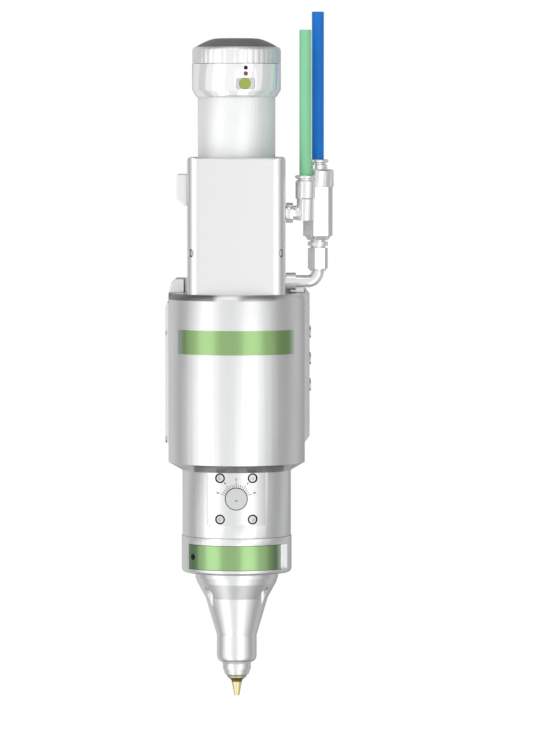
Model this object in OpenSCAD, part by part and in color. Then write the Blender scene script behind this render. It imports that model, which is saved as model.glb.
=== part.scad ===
// Laser cutting head: a fibre port at the top, collimating and focusing optics, a gas nozzle below.
// The beam axis is Z and the nozzle's tip is at the origin. The front faces -Y, the mounting face +Y.

/* [Nozzle] */
// Diameter of the nozzle's tip
nozzle_tip_d = 3.4; // [2.8:0.1:4.4]
// Diameter at the top of the tapered tip
nozzle_neck_d = 7; // [5.6:0.1:7.4]
// Height of the tapered tip
nozzle_tip_h = 9.6; // [7:0.2:14]
// Height of the flare between the tip and the rim
nozzle_flare_h = 2.8; // [2:0.1:5]
// Diameter of the nozzle's rim
nozzle_rim_d = 12.8; // [12:0.2:13.4]
// Height of the rim
nozzle_rim_h = 1.2; // [1.2:0.1:3]
// Diameter of the orifice
orifice_d = 1.5; // [0.8:0.1:2]
// Length of the straight orifice
orifice_h = 3; // [2:0.5:5]
// Diameter of the nozzle's screw shank
shank_d = 9; // [8:0.5:10]
// Length of the screw shank
shank_h = 6; // [4:0.5:7]
// Wall of the screw shank
shank_wall = 1.6; // [1.2:0.1:2]

/* [Nozzle holder and insulator] */
// Diameter of the nozzle holder's head
holder_d = 18.8; // [18.2:0.2:19.2]
// Height of the holder's head
holder_h = 8.5; // [7.5:0.1:12]
// Height of the taper at the foot of the holder's head
holder_taper_h = 4.8; // [4:0.2:6.6]
// How far the taper draws in, per side
holder_taper = 1.2; // [0.5:0.1:1.2]
// Rounding of the holder's lower edge
holder_round = 1.8; // [0.8:0.1:1.8]
// Diameter of the holder's stem
holder_stem_d = 11; // [10.6:0.2:12]
// Length of the holder's stem above its head
holder_stem_h = 20; // [14:1:24]
// Wall of the insulating sleeve
insulator_wall = 1.8; // [1.2:0.1:2]
// Thickness of the insulator's rim below the cone
insulator_rim_t = 0.6; // [0.4:0.1:1.5]

/* [Cone] */
// Diameter of the cone's rounded nose at its lower end
cone_nose_d = 19.4; // [18.4:0.2:22]
// Height of the rounded nose
cone_nose_h = 4.6; // [3:0.2:6]
// Diameter of the straight part above the nose
cone_end_d = 26.6; // [25:0.2:30]
// Height of the straight part
cone_end_h = 13.4; // [8:0.2:18]
// Diameter at the top of the slim taper
cone_top_d = 41.6; // [40:0.2:46]
// Height of the slim taper
cone_taper_h = 25.3; // [20:0.5:40]
// Height of the flare above the slim taper
flare_h = 10; // [8:0.5:15]
// Diameter of the cone's flange
flange_d = 55.4; // [54.4:0.2:62]
// Height of the flange
flange_h = 7.3; // [6:0.1:10]
// Slope at the flange's lower edge, per side
flange_bevel = 1.4; // [0.6:0.1:1.8]
// Height of that slope
flange_bevel_h = 4; // [1:0.2:5]
// Pitch circle of the cone's screws
cone_screw_pcd = 44.4; // [43.4:0.5:45.4]
// Angle of the cone's screws, from the front and from the back
cone_screw_angle = 53.5; // [51.5:0.5:55.5]
// Diameter of the pockets that the screws go in through
cone_pocket_d = 6; // [5.8:0.1:6.4]
// Metal left above each pocket
cone_seat_t = 8; // [7:0.5:10]

/* [Window housing] */
// Diameter of the lower window housing
ring_d = 73.4; // [73:0.2:84]
// Height of the lower window housing
ring_h = 24.4; // [23:0.2:30]
// Rounding of its lower edge
ring_round = 2.6; // [1:0.1:3]
// Clear bore that the beam and gas pass through
beam_d = 28; // [24:0.5:29]
// Height of the drawer's front
drawer_front_h = 16; // [13:0.5:17]
// Thickness of the drawer's front
drawer_front_t = 4; // [3.4:0.1:6]
// Drawer front's bottom edge above the housing's lower face
drawer_front_lift = 3.6; // [3.4:0.1:5.5]
// How far the drawer's front reaches round to the left, in degrees
drawer_arc_left = 59; // [58:1:62]
// How far the drawer's front reaches round to the right, in degrees
drawer_arc_right = 53.5; // [52:0.5:60]
// Width of the finger notch at the drawer's right end
grip_w = 4.2; // [3:0.1:4.6]
// Width of the drawer's tray
tray_w = 46; // [42:1:48]
// Thickness of the drawer's tray
tray_t = 7.5; // [7:0.1:8.5]
// Tray's lower face above the housing's lower face
tray_lift = 9.6; // [9.4:0.1:10.5]
// Diameter of the lower protective window
window_d = 30; // [29.6:0.2:34]
// Thickness of the lower protective window
window_t = 4; // [3:0.1:4.2]
// Floor of the tray under the window
tray_lip = 1.2; // [0.8:0.1:1.6]
// Section diameter of the window's seal
seal_d = 2; // [1.4:0.1:2.1]
// Angle of the drawer's lock screw, from the front towards the left
lock_screw_angle = 52; // [46:1:54]
// Diameter of the drawer's lock screw
lock_screw_d = 4.2; // [3:0.1:4.6]
// Diameter of the gas inlet's bore
gas_bore_d = 8.6; // [7:0.1:9]
// Depth of the gas inlet's threaded part
gas_bore_h = 12; // [9:0.5:14]

/* [Neck and dial] */
// How far the neck stands in from the window housing, per side
neck_step = 0.5; // [0.3:0.1:1]
// Height of the neck
neck_h = 43.9; // [43.4:0.5:59.4]
// Bore of the neck
neck_bore_d = 34; // [30:0.5:35]
// How far the scale plate reaches round to each side, in degrees
scale_arc = 32.5; // [30:0.5:36]
// Thickness of the scale plate
scale_t = 3; // [2.8:0.1:3.4]
// How far the scale plate lies below the neck's surface
scale_sink = 0.3; // [0.2:0.05:0.5]
// Scale plate's lower edge above the neck's lower face
scale_lift = 9; // [7:0.2:9.2]
// Height of the dial's centre above the neck's lower face
dial_lift = 26.7; // [26:0.1:28]
// Diameter of the dial
dial_d = 14; // [12:0.2:14]
// Thickness of the dial
dial_t = 1.4; // [1.2:0.1:2]
// Diameter of the dial's spindle
spindle_d = 6; // [5:0.1:7]
// Distance between the scale screws, across
scale_screw_dx = 21.6; // [21:0.2:24]
// Distance between the scale screws, up and down
scale_screw_dz = 27.4; // [26:0.2:27.4]
// Graduations on each side of the zero mark
tick_count = 8; // [4:1:9]
// Angle between graduations, in degrees
tick_step = 9; // [6:0.5:10]

/* [Focus drive] */
// Teeth of the dial's pinion
pinion_teeth = 15; // [14:1:15]
// Tooth module of the rack and pinion
gear_module = 1; // [0.9:0.05:1]
// Width of the pinion
pinion_w = 4.6; // [4:0.1:5]
// Focus travel below the zero mark
travel_down = 8; // [4:0.5:8]
// Focus travel above the zero mark
travel_up = 9; // [4:0.5:9]
// Diameter of the guide rods
rod_d = 6; // [5:0.5:7]
// Diameter of the lead screw
lead_screw_d = 6; // [5:0.5:7]
// Diameter of the focus motor
motor_d = 18; // [14:1:19]
// Length of the focus motor
motor_h = 33; // [24:1:34]
// Height of the lens carriage
carriage_h = 26; // [22:1:27]
// Carriage's lower face above the bay's floor at rest
carriage_lift = 32.1; // [29.1:0.5:33.1]
// Diameter of the carriage's lens sleeve
carriage_d = 40; // [38:0.5:41]
// Diameter of the focusing and collimating lenses
lens_d = 30; // [29:0.5:32]
// Thickness of the lenses at their edge
lens_edge_t = 4; // [3:0.5:5]
// Rise of each lens face at its centre
lens_rise = 1.4; // [0.8:0.1:2]

/* [Main housing] */
// Diameter of the main housing's drum
body_d = 91; // [90:0.5:104]
// Height of the main housing
body_h = 117.7; // [116.2:0.5:136.2]
// Wall of the drum
body_wall = 7.5; // [6.5:0.1:7.8]
// Floor of the lens bay
floor_t = 6; // [5:0.5:7]
// Slope under the drum, per side
foot_slope = 9; // [6:0.1:9]
// Height of the slope under the drum
foot_slope_h = 5.2; // [3:0.1:7]
// Bevel round the drum's top, per side
top_bevel = 2.2; // [1:0.1:2.4]
// Height of the bevel round the drum's top
top_bevel_h = 3.9; // [2:0.1:5]
// Distance from the beam axis to the rear mounting face
rear_y = 50; // [48:0.5:62]
// Rear block's lower face above the drum's lower face
rear_lift = 13.1; // [9.1:0.5:15.1]
// Thickness of the bay's cover plate
plate_t = 6; // [5:0.5:8]
// Height of the shoulder cap behind the collimation housing
shoulder_h = 9; // [8:0.2:14]
// Slope of the shoulder cap's sides, per side
shoulder_slope = 1.6; // [1:0.1:2.4]
// Bevel of the shoulder cap's upper corners
shoulder_bevel = 2.9; // [1:0.1:4]
// Front of the shoulders, behind the beam axis
shoulder_y = 14; // [13.4:0.2:17]
// Gap between the shoulder cap and the collimation housing's sides
shoulder_gap = 3; // [1.5:0.1:4]
// Gap between the shoulder cap and the collimation housing's back
lip_gap = 1.5; // [1:0.1:2]
// Distance between the mounting holes, across
mount_dx = 60; // [54:1:62]
// Distance between the mounting holes, up and down
mount_dz = 70; // [60:1:76]
// Mounting pattern's centre above the drum's lower face
mount_lift = 67.1; // [63.1:1:69.1]
// Diameter of the mounting holes' thread
mount_hole_d = 5; // [4.2:0.1:6]
// Depth of the mounting holes
mount_hole_h = 13; // [10:0.5:14]
// Height of the curved plate on the drum
label_h = 16; // [12:0.5:20]
// Curved plate's lower edge above the drum's lower face
label_lift = 78.4; // [61.4:0.5:84.4]
// Thickness of the curved plate
label_t = 0.5; // [0.3:0.1:0.8]
// How far the curved plate reaches round to the left, in degrees
label_arc_left = 57; // [40:1:60]
// How far the curved plate reaches round to the right, in degrees
label_arc_right = 56; // [40:1:60]

/* [Side covers] */
// Thickness of the left cover
left_cover_t = 2.4; // [2:0.1:4]
// Left cover's upper edge below the drum's top
left_cover_drop = 4.6; // [2:0.2:8]
// Left cover's lower edge above the drum's lower face
left_cover_lift = 15.7; // [15.1:0.2:19.1]
// Thickness of the right cover
right_cover_t = 3.3; // [2.4:0.1:5]
// Right cover's upper edge above the drum's top
right_cover_rise = 2.9; // [1:0.1:5]
// Right cover's lower edge above the drum's lower face
right_cover_lift = 17.1; // [15.1:0.2:19.1]
// Front edge of the covers, behind the beam axis
cover_y = 14; // [13:0.5:16]
// Depth of the covers, front to back
cover_w = 33; // [31:0.5:33.5]
// Slope at the covers' ends
cover_slope = 4.6; // [2:0.2:6]
// Depth of the bays behind the covers
side_bay_depth = 8.6; // [7.6:0.1:9]
// Height of the bays behind the covers
side_bay_h = 70; // [60:1:80]
// Frame left round those bays at the front and the back
side_bay_frame = 5; // [5:0.1:7]
// Height of the right cover's middle screws above the drum's lower face
cover_screw_lift = 73; // [67:0.1:75]
// Distance between the right cover's screws
cover_screw_step = 17.75; // [14:0.25:20]
// Head diameter of the cover screws
cover_head_d = 7; // [5:0.2:8]
// How far the cover screws' heads stand out
cover_head_h = 0.9; // [0.5:0.1:1.4]

/* [Collimation housing] */
// Width of the collimation housing
box_w = 65; // [64:0.5:70]
// Depth of the collimation housing
box_depth = 65; // [64:0.5:66]
// Height of the collimation housing
box_h = 90.7; // [88:0.5:110]
// Rounding of its upright edges
box_corner = 8; // [4:0.2:9]
// Rounding of its top edges
box_top_round = 2; // [0.6:0.1:3]
// Bore of the collimation housing
box_bore_d = 48; // [46:0.5:49]
// Floor of the lens cell's seat, above the housing's lower face
cell_floor = 17; // [15.5:0.5:20]
// Diameter of the lens cell
cell_d = 43; // [40:0.5:44]
// Height of the lens cell
cell_h = 20; // [19:0.5:24]
// Centring screws' axis above the housing's lower face
centring_lift = 27.5; // [26:0.5:32]
// Head diameter of the centring screws
centring_head_d = 4.6; // [4:0.2:5.6]
// Head height of the centring screws
centring_head_h = 4; // [3:0.2:5]
// Shank diameter of the centring screws
centring_shank_d = 3; // [2.4:0.2:3.4]
// How deep the centring screws' heads lie
centring_sink = 1.2; // [0.6:0.1:2]

/* [Upper drawer] */
// Height of the upper drawer's front
upper_front_h = 20.7; // [18:0.1:24]
// Depth of the upper drawer's front, front to back
upper_front_w = 40; // [38:0.5:44]
// Thickness of the upper drawer's front
upper_front_t = 6.6; // [4:0.1:9]
// Upper drawer front's lower edge above the housing's lower face
upper_front_lift = 58.7; // [56:0.1:62]
// Bevel under the upper drawer's front
upper_front_bevel = 5; // [2:0.2:6]
// Width of the upper drawer's tray
upper_tray_w = 34; // [30:0.5:36]
// Thickness of the upper drawer's tray
upper_tray_t = 7.5; // [6:0.1:8]
// Tray's reach past the beam axis
upper_tray_reach = 18; // [15:0.5:19]
// Diameter of the upper protective window
upper_window_d = 25.4; // [24:0.2:28]
// Thickness of the upper protective window
upper_window_t = 3; // [2:0.1:3.4]

/* [Fibre port] */
// Diameter of the collimator tube
tube_d = 51.6; // [50:0.2:56]
// Height of the collimator tube
tube_h = 40; // [30:0.5:60]
// Wall of the collimator tube
tube_wall = 5.2; // [3:0.1:6]
// Diameter of the receiver's collar and of the lock ring
collar_d = 59; // [58.6:0.2:64]
// Height of the receiver's collar
skirt_h = 22; // [21:0.2:26]
// Bevel under the collar, per side
skirt_bevel = 2.8; // [1:0.1:3.2]
// Height of the bevel under the collar
skirt_bevel_h = 4.7; // [2:0.1:5]
// Length of the receiver's spigot in the tube
spigot_h = 9; // [5:0.5:14]
// Bore of the fibre port
port_d = 24; // [22:0.5:26]
// Height of the lock ring
lock_h = 11.3; // [9:0.1:15]
// Diameter of the lock ring's bearing on the receiver
lock_bearing_d = 42; // [38:0.5:46]
// Thickness of the lock ring's top
lock_lip_t = 2.4; // [1.6:0.1:3]
// Number of flutes on the lock ring
flute_count = 44; // [24:2:52]
// Depth of the flutes
flute_depth = 0.2; // [0.15:0.05:0.6]
// Width of the flutes
flute_w = 2.2; // [1.4:0.1:2.4]
// Height of the dust plug's crown
crown_h = 5.4; // [4:0.1:10]
// Diameter of the dust plug's crown
crown_d = 53.6; // [44:0.2:54]
// Diameter of the dust plug's stem
plug_d = 23; // [20:0.5:23.4]
// Length of the dust plug's stem
plug_h = 26; // [16:1:34]
// Angle of the release button, from the front towards the right
button_angle = 12.4; // [0:0.2:30]
// Diameter of the release button
button_d = 7.4; // [6:0.1:7.5]
// Height of the button's centre above the collar's lower face
button_lift = 8.8; // [8.7:0.1:9.5]
// Travel of the button
button_travel = 1.2; // [0.6:0.1:1.6]
// Width of the button's pocket
pocket_w = 13.2; // [11:0.2:15]
// Height of the button's pocket
pocket_h = 7.9; // [7.8:0.1:8]
// Depth of the button's pocket
pocket_depth = 2.2; // [1.6:0.1:3]
// Diameter of the index dot
dot_d = 2.9; // [2:0.1:3.2]
// Height of the index dot above the collar's lower face
dot_lift = 15.4; // [15:0.1:15.6]
// Diameter of the collar's stop screw
stop_d = 2.7; // [2:0.1:3]
// Height of the stop screw above the collar's lower face
stop_lift = 19.3; // [18.9:0.1:19.5]

/* [Hose fittings] */
// Outside diameter of the hoses
hose_d = 8; // [8:0.1:8.1]
// Collet's wall
collet_wall = 1; // [0.8:0.1:1]
// Collet's travel when it is pressed
collet_travel = 1; // [0.6:0.1:1]
// Diameter of the fittings' screw stems
stem_d = 9; // [8:0.1:9.6]
// Length of the screw stems in the housing
stem_h = 6.8; // [5:0.1:7]
// Bore through the fittings
flow_d = 5; // [4:0.1:5]
// Green fitting's distance in front of the beam axis
green_y = 10; // [9.5:0.1:11]
// Height of the green fitting's stem above the housing's lower face
green_lift = 53.9; // [50:0.1:58]
// Reach of the green fitting's upright axis from the housing's side
green_reach = 13.3; // [13:0.1:13.6]
// Diameter of the green fitting's arm
green_arm_d = 9.4; // [8.4:0.1:10]
// Diameter of the green fitting's leg
green_leg_d = 11.4; // [10:0.1:12]
// Diameter of the green fitting's base flange
green_flange_d = 13.3; // [11:0.1:14]
// Diameter of the green fitting's barrel
green_barrel_d = 13.2; // [13:0.1:13.6]
// Height of the barrel's lower face above the stem
green_barrel_lift = 8.8; // [7:0.1:10]
// Height of the barrel
green_barrel_h = 12.7; // [11:0.1:15]
// Blue fitting's distance behind the beam axis
blue_y = 7; // [6.6:0.1:7.4]
// Height of the blue fitting's stem above the housing's lower face
blue_lift = 7.8; // [7.4:0.1:9]
// Reach of the blue fitting's upright axis from the housing's side
blue_reach = 21.7; // [21.4:0.1:23]
// Diameter of the blue fitting's bent pipe
blue_pipe_d = 8.2; // [7.6:0.1:8.4]
// Bend radius of the pipe
blue_bend_r = 7; // [5:0.1:8]
// Diameter of the blue fitting's base flange
blue_flange_d = 11.6; // [10:0.1:12]
// Turn of the blue fitting's hexagons, in degrees
hex_turn = 13; // [0:1:30]
// Union nut, across its corners
union_d = 13.6; // [12.4:0.1:14.4]
// Height of the union nut
union_h = 15.3; // [12:0.1:18]
// Hexagon body, across its corners
hex_body_d = 20.2; // [18:0.1:20.6]
// Height of the hexagon body
hex_body_h = 32.8; // [26:0.1:40]
// Diameter of the end ring
end_ring_d = 21; // [18:0.1:21.4]
// Height of the end ring
end_ring_h = 11.6; // [9:0.1:15]

/* [Clearances] */
// Clearance of fixed fits, per side
fit_gap = 0.05; // [0.03:0.01:0.08]
// Clearance of turning and sliding fits, per side
run_gap = 0.06; // [0.04:0.01:0.09]
// Clearance round the drawers, per side
drawer_gap = 0.3; // [0.2:0.05:0.4]

/* [Hidden] */
$fn = 96;
over = 1;

// Heights of the stack, from the nozzle's tip up
z_flare = nozzle_tip_h;
z_rim = z_flare + nozzle_flare_h;
z_holder = z_rim + nozzle_rim_h;
z_insulator = z_holder + holder_h;
z_cone = z_insulator + insulator_rim_t;
z_cone_end = z_cone + cone_nose_h;
z_taper = z_cone_end + cone_end_h;
z_cone_flare = z_taper + cone_taper_h;
z_flange = z_cone_flare + flare_h;
z_ring = z_flange + flange_h;
z_neck = z_ring + ring_h;
z_body = z_neck + neck_h;
z_box = z_body + body_h;
z_tube = z_box + box_h;
z_collar = z_tube + tube_h;
z_lock = z_collar + skirt_h;
z_crown = z_lock + lock_h;

// Nozzle, holder and insulator
shank_bore_r = shank_d / 2 - shank_wall;
z_stem_top = z_insulator + holder_stem_h;
insulator_r = holder_stem_d / 2 + fit_gap + insulator_wall;

// Fasteners
cone_screw_d = 3;
cone_head_d = 5.5;
cone_head_h = 3;
cone_thread_h = 6;
scale_screw_d = 3;
scale_head_d = 5.5;
scale_head_h = 2;
scale_head_bore_d = 6.4;
scale_head_sink = 2.1;
scale_thread_h = 5;
cover_screw_d = 3;
cover_thread_h = 6;
socket_share = 0.45;

// Window housing and its drawer
z_tray = z_ring + tray_lift;
z_drawer = z_ring + drawer_front_lift;
z_window = z_tray + tray_lip;
drawer_inner_r = ring_d / 2 - drawer_front_t;
tray_clear_d = beam_d - 2;
grip_x = ring_d / 2 * sin(drawer_arc_right);
grip_y = sqrt(pow(ring_d / 2, 2) - pow(grip_x + grip_w, 2));
z_gas = z_ring + gas_bore_d / 2 + 0.7;

// Neck, dial and rack
neck_r = ring_d / 2 - neck_step;
scale_r = neck_r - scale_sink;
scale_screw_angle = asin(scale_screw_dx / 2 / scale_r);
dial_bore_gap = 0.45;
dial_sink = 1.2;
dial_float = 0.3;
dial_y = scale_r - dial_sink + dial_float;
z_scale = z_neck + scale_lift;
z_dial = z_neck + dial_lift;
pitch_r = pinion_teeth * gear_module / 2;
tooth_pitch = PI * gear_module;
tooth_backlash = 0.2;
tooth_w = tooth_pitch / 2 - tooth_backlash;
tooth_tip = 0.8 * gear_module;
tooth_root = 1.2 * gear_module;
pressure_angle = 20;
gear_wall = 10;
gear_y = neck_r - gear_wall;
gear_bay_gap = 0.7;
rack_w = pinion_w - 0.6;
rack_back = 4;
rack_mesh = 5;
rack_x = pitch_r + tooth_root;
z_rack = z_dial - travel_up - rack_mesh - tooth_pitch / 2;
z_gear_bay = z_rack - travel_down - 0.8;
rack_y = gear_y - gear_bay_gap - pinion_w / 2;
rack_slot_x = pitch_r - tooth_tip - gear_bay_gap;
rack_slot_w = rack_x + rack_back + gear_bay_gap - rack_slot_x;

// Lens bay
bay_r = body_d / 2 - body_wall;
z_floor = z_body + floor_t;
z_plate = z_box - plate_t;
plate_r = bay_r + 2.4;
rod_boss_r = rod_d / 2 + 2.5;
rod_x = bay_r - rod_boss_r - 0.5;
rod_seat = 4;
motor_y = bay_r - motor_d / 2 - 0.6;
z_motor = z_plate - motor_h;
bearing_r = lead_screw_d / 2 + 2;
journal_d = lead_screw_d - 1;
nut_boss_r = lead_screw_d / 2 + 3.5;
z_carriage = z_floor + carriage_lift;
arm_h = 12;
lens_seat = 2;
lens_clear_d = lens_d - 2.4;
retainer_h = 3;
lens_bulge = lens_rise * (1 - pow(lens_clear_d / lens_d, 2)) + fit_gap;
lens_drop = retainer_h + lens_edge_t + 2 * lens_bulge + lens_seat;
floor_bore_d = neck_bore_d;

// Rear block, covers and shoulder cap
half_w = body_d / 2;
z_rear = z_body + rear_lift;
z_mount = z_body + mount_lift;
z_cover_mid = z_body + cover_screw_lift;
left_cover_h = body_h - left_cover_lift - left_cover_drop;
right_cover_h = body_h - right_cover_lift + right_cover_rise;
side_bay_w = cover_w - 2 * side_bay_frame;
board_t = 1.6;
board_gap = 2;
board_foot_d = 4;
board_margin = 4;
lip_y = box_depth / 2 + lip_gap;
shoulder_x = box_w / 2 + shoulder_gap;
connector_d = 12;
connector_h = 10;
connector_base = 14;
connector_base_t = 2.4;
connector_y = (lip_y + rear_y) / 2;

// Collimation housing
z_cell = z_box + cell_floor;
box_corner_place = [box_w / 2 - box_corner, box_depth / 2 - box_corner];
box_corner_angle = atan2(box_corner_place.x, box_corner_place.y);
box_corner_reach = norm(box_corner_place) + box_corner;
z_centring = z_box + centring_lift;
centring_bore_d = centring_head_d + 0.8;
z_upper_front = z_box + upper_front_lift;
z_upper_tray = z_upper_front + 6;
upper_tray_lip = 1.2;
upper_clear_d = upper_window_d - 3;

// Fibre port
tube_bore_d = tube_d - 2 * tube_wall;
lock_float = 0.25;
lock_lip_w = 4;
crown_float = 0.25;
crown_flat = 0.5;
button_depth = 5;
z_button = z_collar + button_lift;
flute_r = (pow(flute_w / 2, 2) + pow(flute_depth, 2)) / (2 * flute_depth);

// Hose fittings
side_x = box_w / 2;
seat_gap = 0.3;
hose_seat_r = hose_d / 2 + 0.1;
collet_r = hose_seat_r + collet_wall;
collet_flange_h = 2.2;
green_collet_d = 13.6;
blue_collet_d = 14;
collet_float = collet_travel + 0.2;
z_green = z_box + green_lift;
green_x = side_x + green_reach;
z_green_barrel = z_green + green_barrel_lift;
z_green_top = z_green_barrel + green_barrel_h;
green_seat = 8.5;
z_green_seat = z_green_top - green_seat;
z_blue = z_box + blue_lift;
blue_x = side_x + blue_reach;
base_flange_h = 5;
union_bevel = 1.6;
z_union = z_blue + blue_bend_r;
z_union_top = z_union + union_h;
swivel_h = 5.4;
swivel_d = 13.4;
swivel_neck_d = 10;
hex_taper_h = 2.6;
z_hex = z_union_top + swivel_h + hex_taper_h;
z_end_ring = z_hex + hex_body_h;
end_neck_d = 12.4;
end_neck_h = 3.3;
z_blue_top = z_end_ring + end_ring_h + end_neck_h;
blue_seat = 9.6;
z_blue_seat = z_blue_top - blue_seat;

// Routes of the two hoses, as heights above their seats along their upright axes
green_route = [0, 8, 16, 24, 32, 40, 48, 56, 64, 72, 80, 88, 96, 102, 108];
blue_route = [0, 8, 16, 24, 32, 40, 48, 56, 64, 72, 80, 88, 96, 104, 111];
hose_sides = 12;

silver = "#d6d8da";
pale = "#e8e8e8";
steel = "#b9bcc0";
green = "#84ae6c";
dark = "#3c3e42";
glass = "#cfe4ea";

// A tube with its foot on the XY plane
module pipe(outer_d, inner_d, h) {
  linear_extrude(h)
    difference() {
      circle(d = outer_d);
      circle(d = inner_d);
    }
}

// A bar with round upright edges, centred on the Z axis
module round_bar(w, depth, h, r) {
  linear_extrude(h)
    union() {
      square([w - 2 * r, depth], center = true);
      square([w, depth - 2 * r], center = true);
      for (x = [-1, 1], y = [-1, 1])
        translate([x * (w / 2 - r), y * (depth / 2 - r)])
          circle(r);
    }
}

// A curved panel round the Z axis, from its left angle to its right angle as seen from the front
module curved_panel(outer_r, inner_r, h, left, right) {
  rotate([0, 0, -90 - left])
    rotate_extrude(angle = left + right)
      translate([inner_r, 0])
        square([outer_r - inner_r, h]);
}

// A lens with two curved faces, its lower edge on the XY plane
module lens(d, edge_t, rise) {
  r = d / 2;
  steps = 6;
  rotate_extrude()
    polygon([
      for (i = [0 : steps]) [r * i / steps, -rise * (1 - pow(i / steps, 2))],
      for (i = [steps : -1 : 0]) [r * i / steps, edge_t + rise * (1 - pow(i / steps, 2))]
    ]);
}

// A socket screw along +Z: its head stands on the XY plane, its shank hangs below
module cap_screw(head_d, head_h, screw_d, screw_h) {
  edge = head_h / 5;
  difference() {
    union() {
      rotate_extrude()
        polygon([
          [0, 0],
          [head_d / 2, 0],
          [head_d / 2, head_h - edge],
          [head_d / 2 - edge, head_h],
          [0, head_h]
        ]);
      translate([0, 0, -screw_h])
        cylinder(d = screw_d, h = screw_h + head_h / 2);
    }
    translate([0, 0, head_h * (1 - socket_share)])
      cylinder(d = head_d * socket_share, h = head_h, $fn = 6);
  }
}

// Turns what is built along +Z to point out of the front at an angle to the right
module out_of_front(angle, r, z) {
  rotate([0, 0, angle])
    translate([0, -r, z])
      rotate([90, 0, 0])
        children();
}

module nozzle() {
  flare_steps = 4;
  flare_curve = 1.8;
  color("#c9a94f")
    rotate_extrude()
      polygon([
        [orifice_d / 2, 0],
        [nozzle_tip_d / 2, 0],
        for (i = [0 : flare_steps])
          let (part = i / flare_steps)
          [
            (nozzle_neck_d + (nozzle_rim_d - nozzle_neck_d) * pow(part, flare_curve)) / 2,
            z_flare + nozzle_flare_h * part
          ],
        [nozzle_rim_d / 2, z_holder],
        [shank_d / 2, z_holder],
        [shank_d / 2, z_holder + shank_h],
        [shank_bore_r, z_holder + shank_h],
        [shank_bore_r, z_rim],
        [orifice_d / 2, orifice_h]
      ]);
}

module nozzle_holder() {
  thread_r = shank_d / 2 + fit_gap;
  foot_r = holder_d / 2 - holder_taper;
  round_steps = 3;
  z_thread = z_holder + shank_h + fit_gap;
  color(silver)
    rotate_extrude()
      polygon([
        [thread_r, z_holder],
        for (i = [0 : round_steps])
          [
            foot_r - holder_round * (1 - sin(90 * i / round_steps)),
            z_holder + holder_round * (1 - cos(90 * i / round_steps))
          ],
        [holder_d / 2, z_holder + holder_taper_h],
        [holder_d / 2, z_insulator],
        [holder_stem_d / 2, z_insulator],
        [holder_stem_d / 2, z_stem_top],
        [shank_bore_r, z_stem_top],
        [shank_bore_r, z_thread],
        [thread_r, z_thread]
      ]);
}

module insulator() {
  color("#f1ede2")
    translate([0, 0, z_insulator]) {
      pipe(holder_d, holder_stem_d + 2 * fit_gap, insulator_rim_t);
      translate([0, 0, insulator_rim_t])
        pipe(2 * insulator_r, holder_stem_d + 2 * fit_gap, holder_stem_h - insulator_rim_t);
    }
}

// Places of the cone's screws
module cone_screw_places() {
  for (x = [-1, 1], turn = [0, 180])
    rotate([0, 0, turn])
      translate([
        x * sin(cone_screw_angle) * cone_screw_pcd / 2,
        -cos(cone_screw_angle) * cone_screw_pcd / 2,
        0
      ])
        children();
}

module cone_body() {
  bore_r = insulator_r + fit_gap;
  nose_r = cone_nose_d / 2;
  nose_reach = cone_end_d / 2 - nose_r;
  z_seat = z_ring - cone_seat_t;
  nose_steps = 6;
  color(silver)
    difference() {
      rotate_extrude()
        polygon([
          [bore_r, z_cone],
          for (i = [0 : nose_steps])
            [
              nose_r + nose_reach * sin(90 * i / nose_steps),
              z_cone_end - cone_nose_h * cos(90 * i / nose_steps)
            ],
          [cone_end_d / 2, z_taper],
          [cone_top_d / 2, z_cone_flare],
          [flange_d / 2 - flange_bevel, z_flange],
          [flange_d / 2, z_flange + flange_bevel_h],
          [flange_d / 2, z_ring],
          [beam_d / 2, z_ring],
          [shank_bore_r, z_stem_top],
          [bore_r, z_stem_top]
        ]);
      cone_screw_places() {
        translate([0, 0, z_taper])
          cylinder(d = cone_pocket_d, h = z_seat - z_taper);
        translate([0, 0, z_seat - over])
          cylinder(d = cone_screw_d + 2 * fit_gap, h = cone_seat_t + 2 * over);
      }
    }
}

module cone_screws() {
  color(steel)
    cone_screw_places()
      translate([0, 0, z_ring - cone_seat_t])
        rotate([180, 0, 0])
          cap_screw(cone_head_d, cone_head_h, cone_screw_d, cone_seat_t + cone_thread_h);
}

// Outline of the drawer's tray, seen from above
module tray_outline(gap) {
  intersection() {
    union() {
      circle(d = tray_w + 2 * gap);
      translate([-tray_w / 2 - gap, -ring_d / 2])
        square([tray_w + 2 * gap, ring_d / 2]);
    }
    circle(drawer_inner_r + drawer_front_t / 2);
  }
}

module window_housing() {
  round_steps = 5;
  color(silver)
    difference() {
      rotate_extrude()
        polygon([
          [beam_d / 2, z_ring],
          for (i = [0 : round_steps])
            [
              ring_d / 2 - ring_round * (1 - sin(90 * i / round_steps)),
              z_ring + ring_round * (1 - cos(90 * i / round_steps))
            ],
          [ring_d / 2, z_neck],
          [beam_d / 2, z_neck]
        ]);
      translate([0, 0, z_tray - drawer_gap])
        linear_extrude(tray_t + 2 * drawer_gap)
          tray_outline(drawer_gap);
      translate([0, 0, z_drawer - drawer_gap])
        curved_panel(
          ring_d / 2 + over,
          drawer_inner_r - drawer_gap,
          drawer_front_h + 2 * drawer_gap,
          drawer_arc_left + drawer_gap,
          drawer_arc_right + drawer_gap
        );
      translate([grip_x, -ring_d / 2 - over, z_drawer])
        cube([2 * grip_w, ring_d / 2 + over - grip_y, drawer_front_h]);
      translate([0, 0, z_gas])
        rotate([-90, 0, 0]) {
          cylinder(d = gas_bore_d - 2, h = ring_d / 2);
          translate([0, 0, ring_d / 2 - gas_bore_h])
            cylinder(d = gas_bore_d, h = gas_bore_h + over);
        }
      cone_screw_places()
        translate([0, 0, z_ring - over])
          cylinder(d = cone_screw_d + 2 * fit_gap, h = cone_thread_h + over + 0.4);
    }
}

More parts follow.
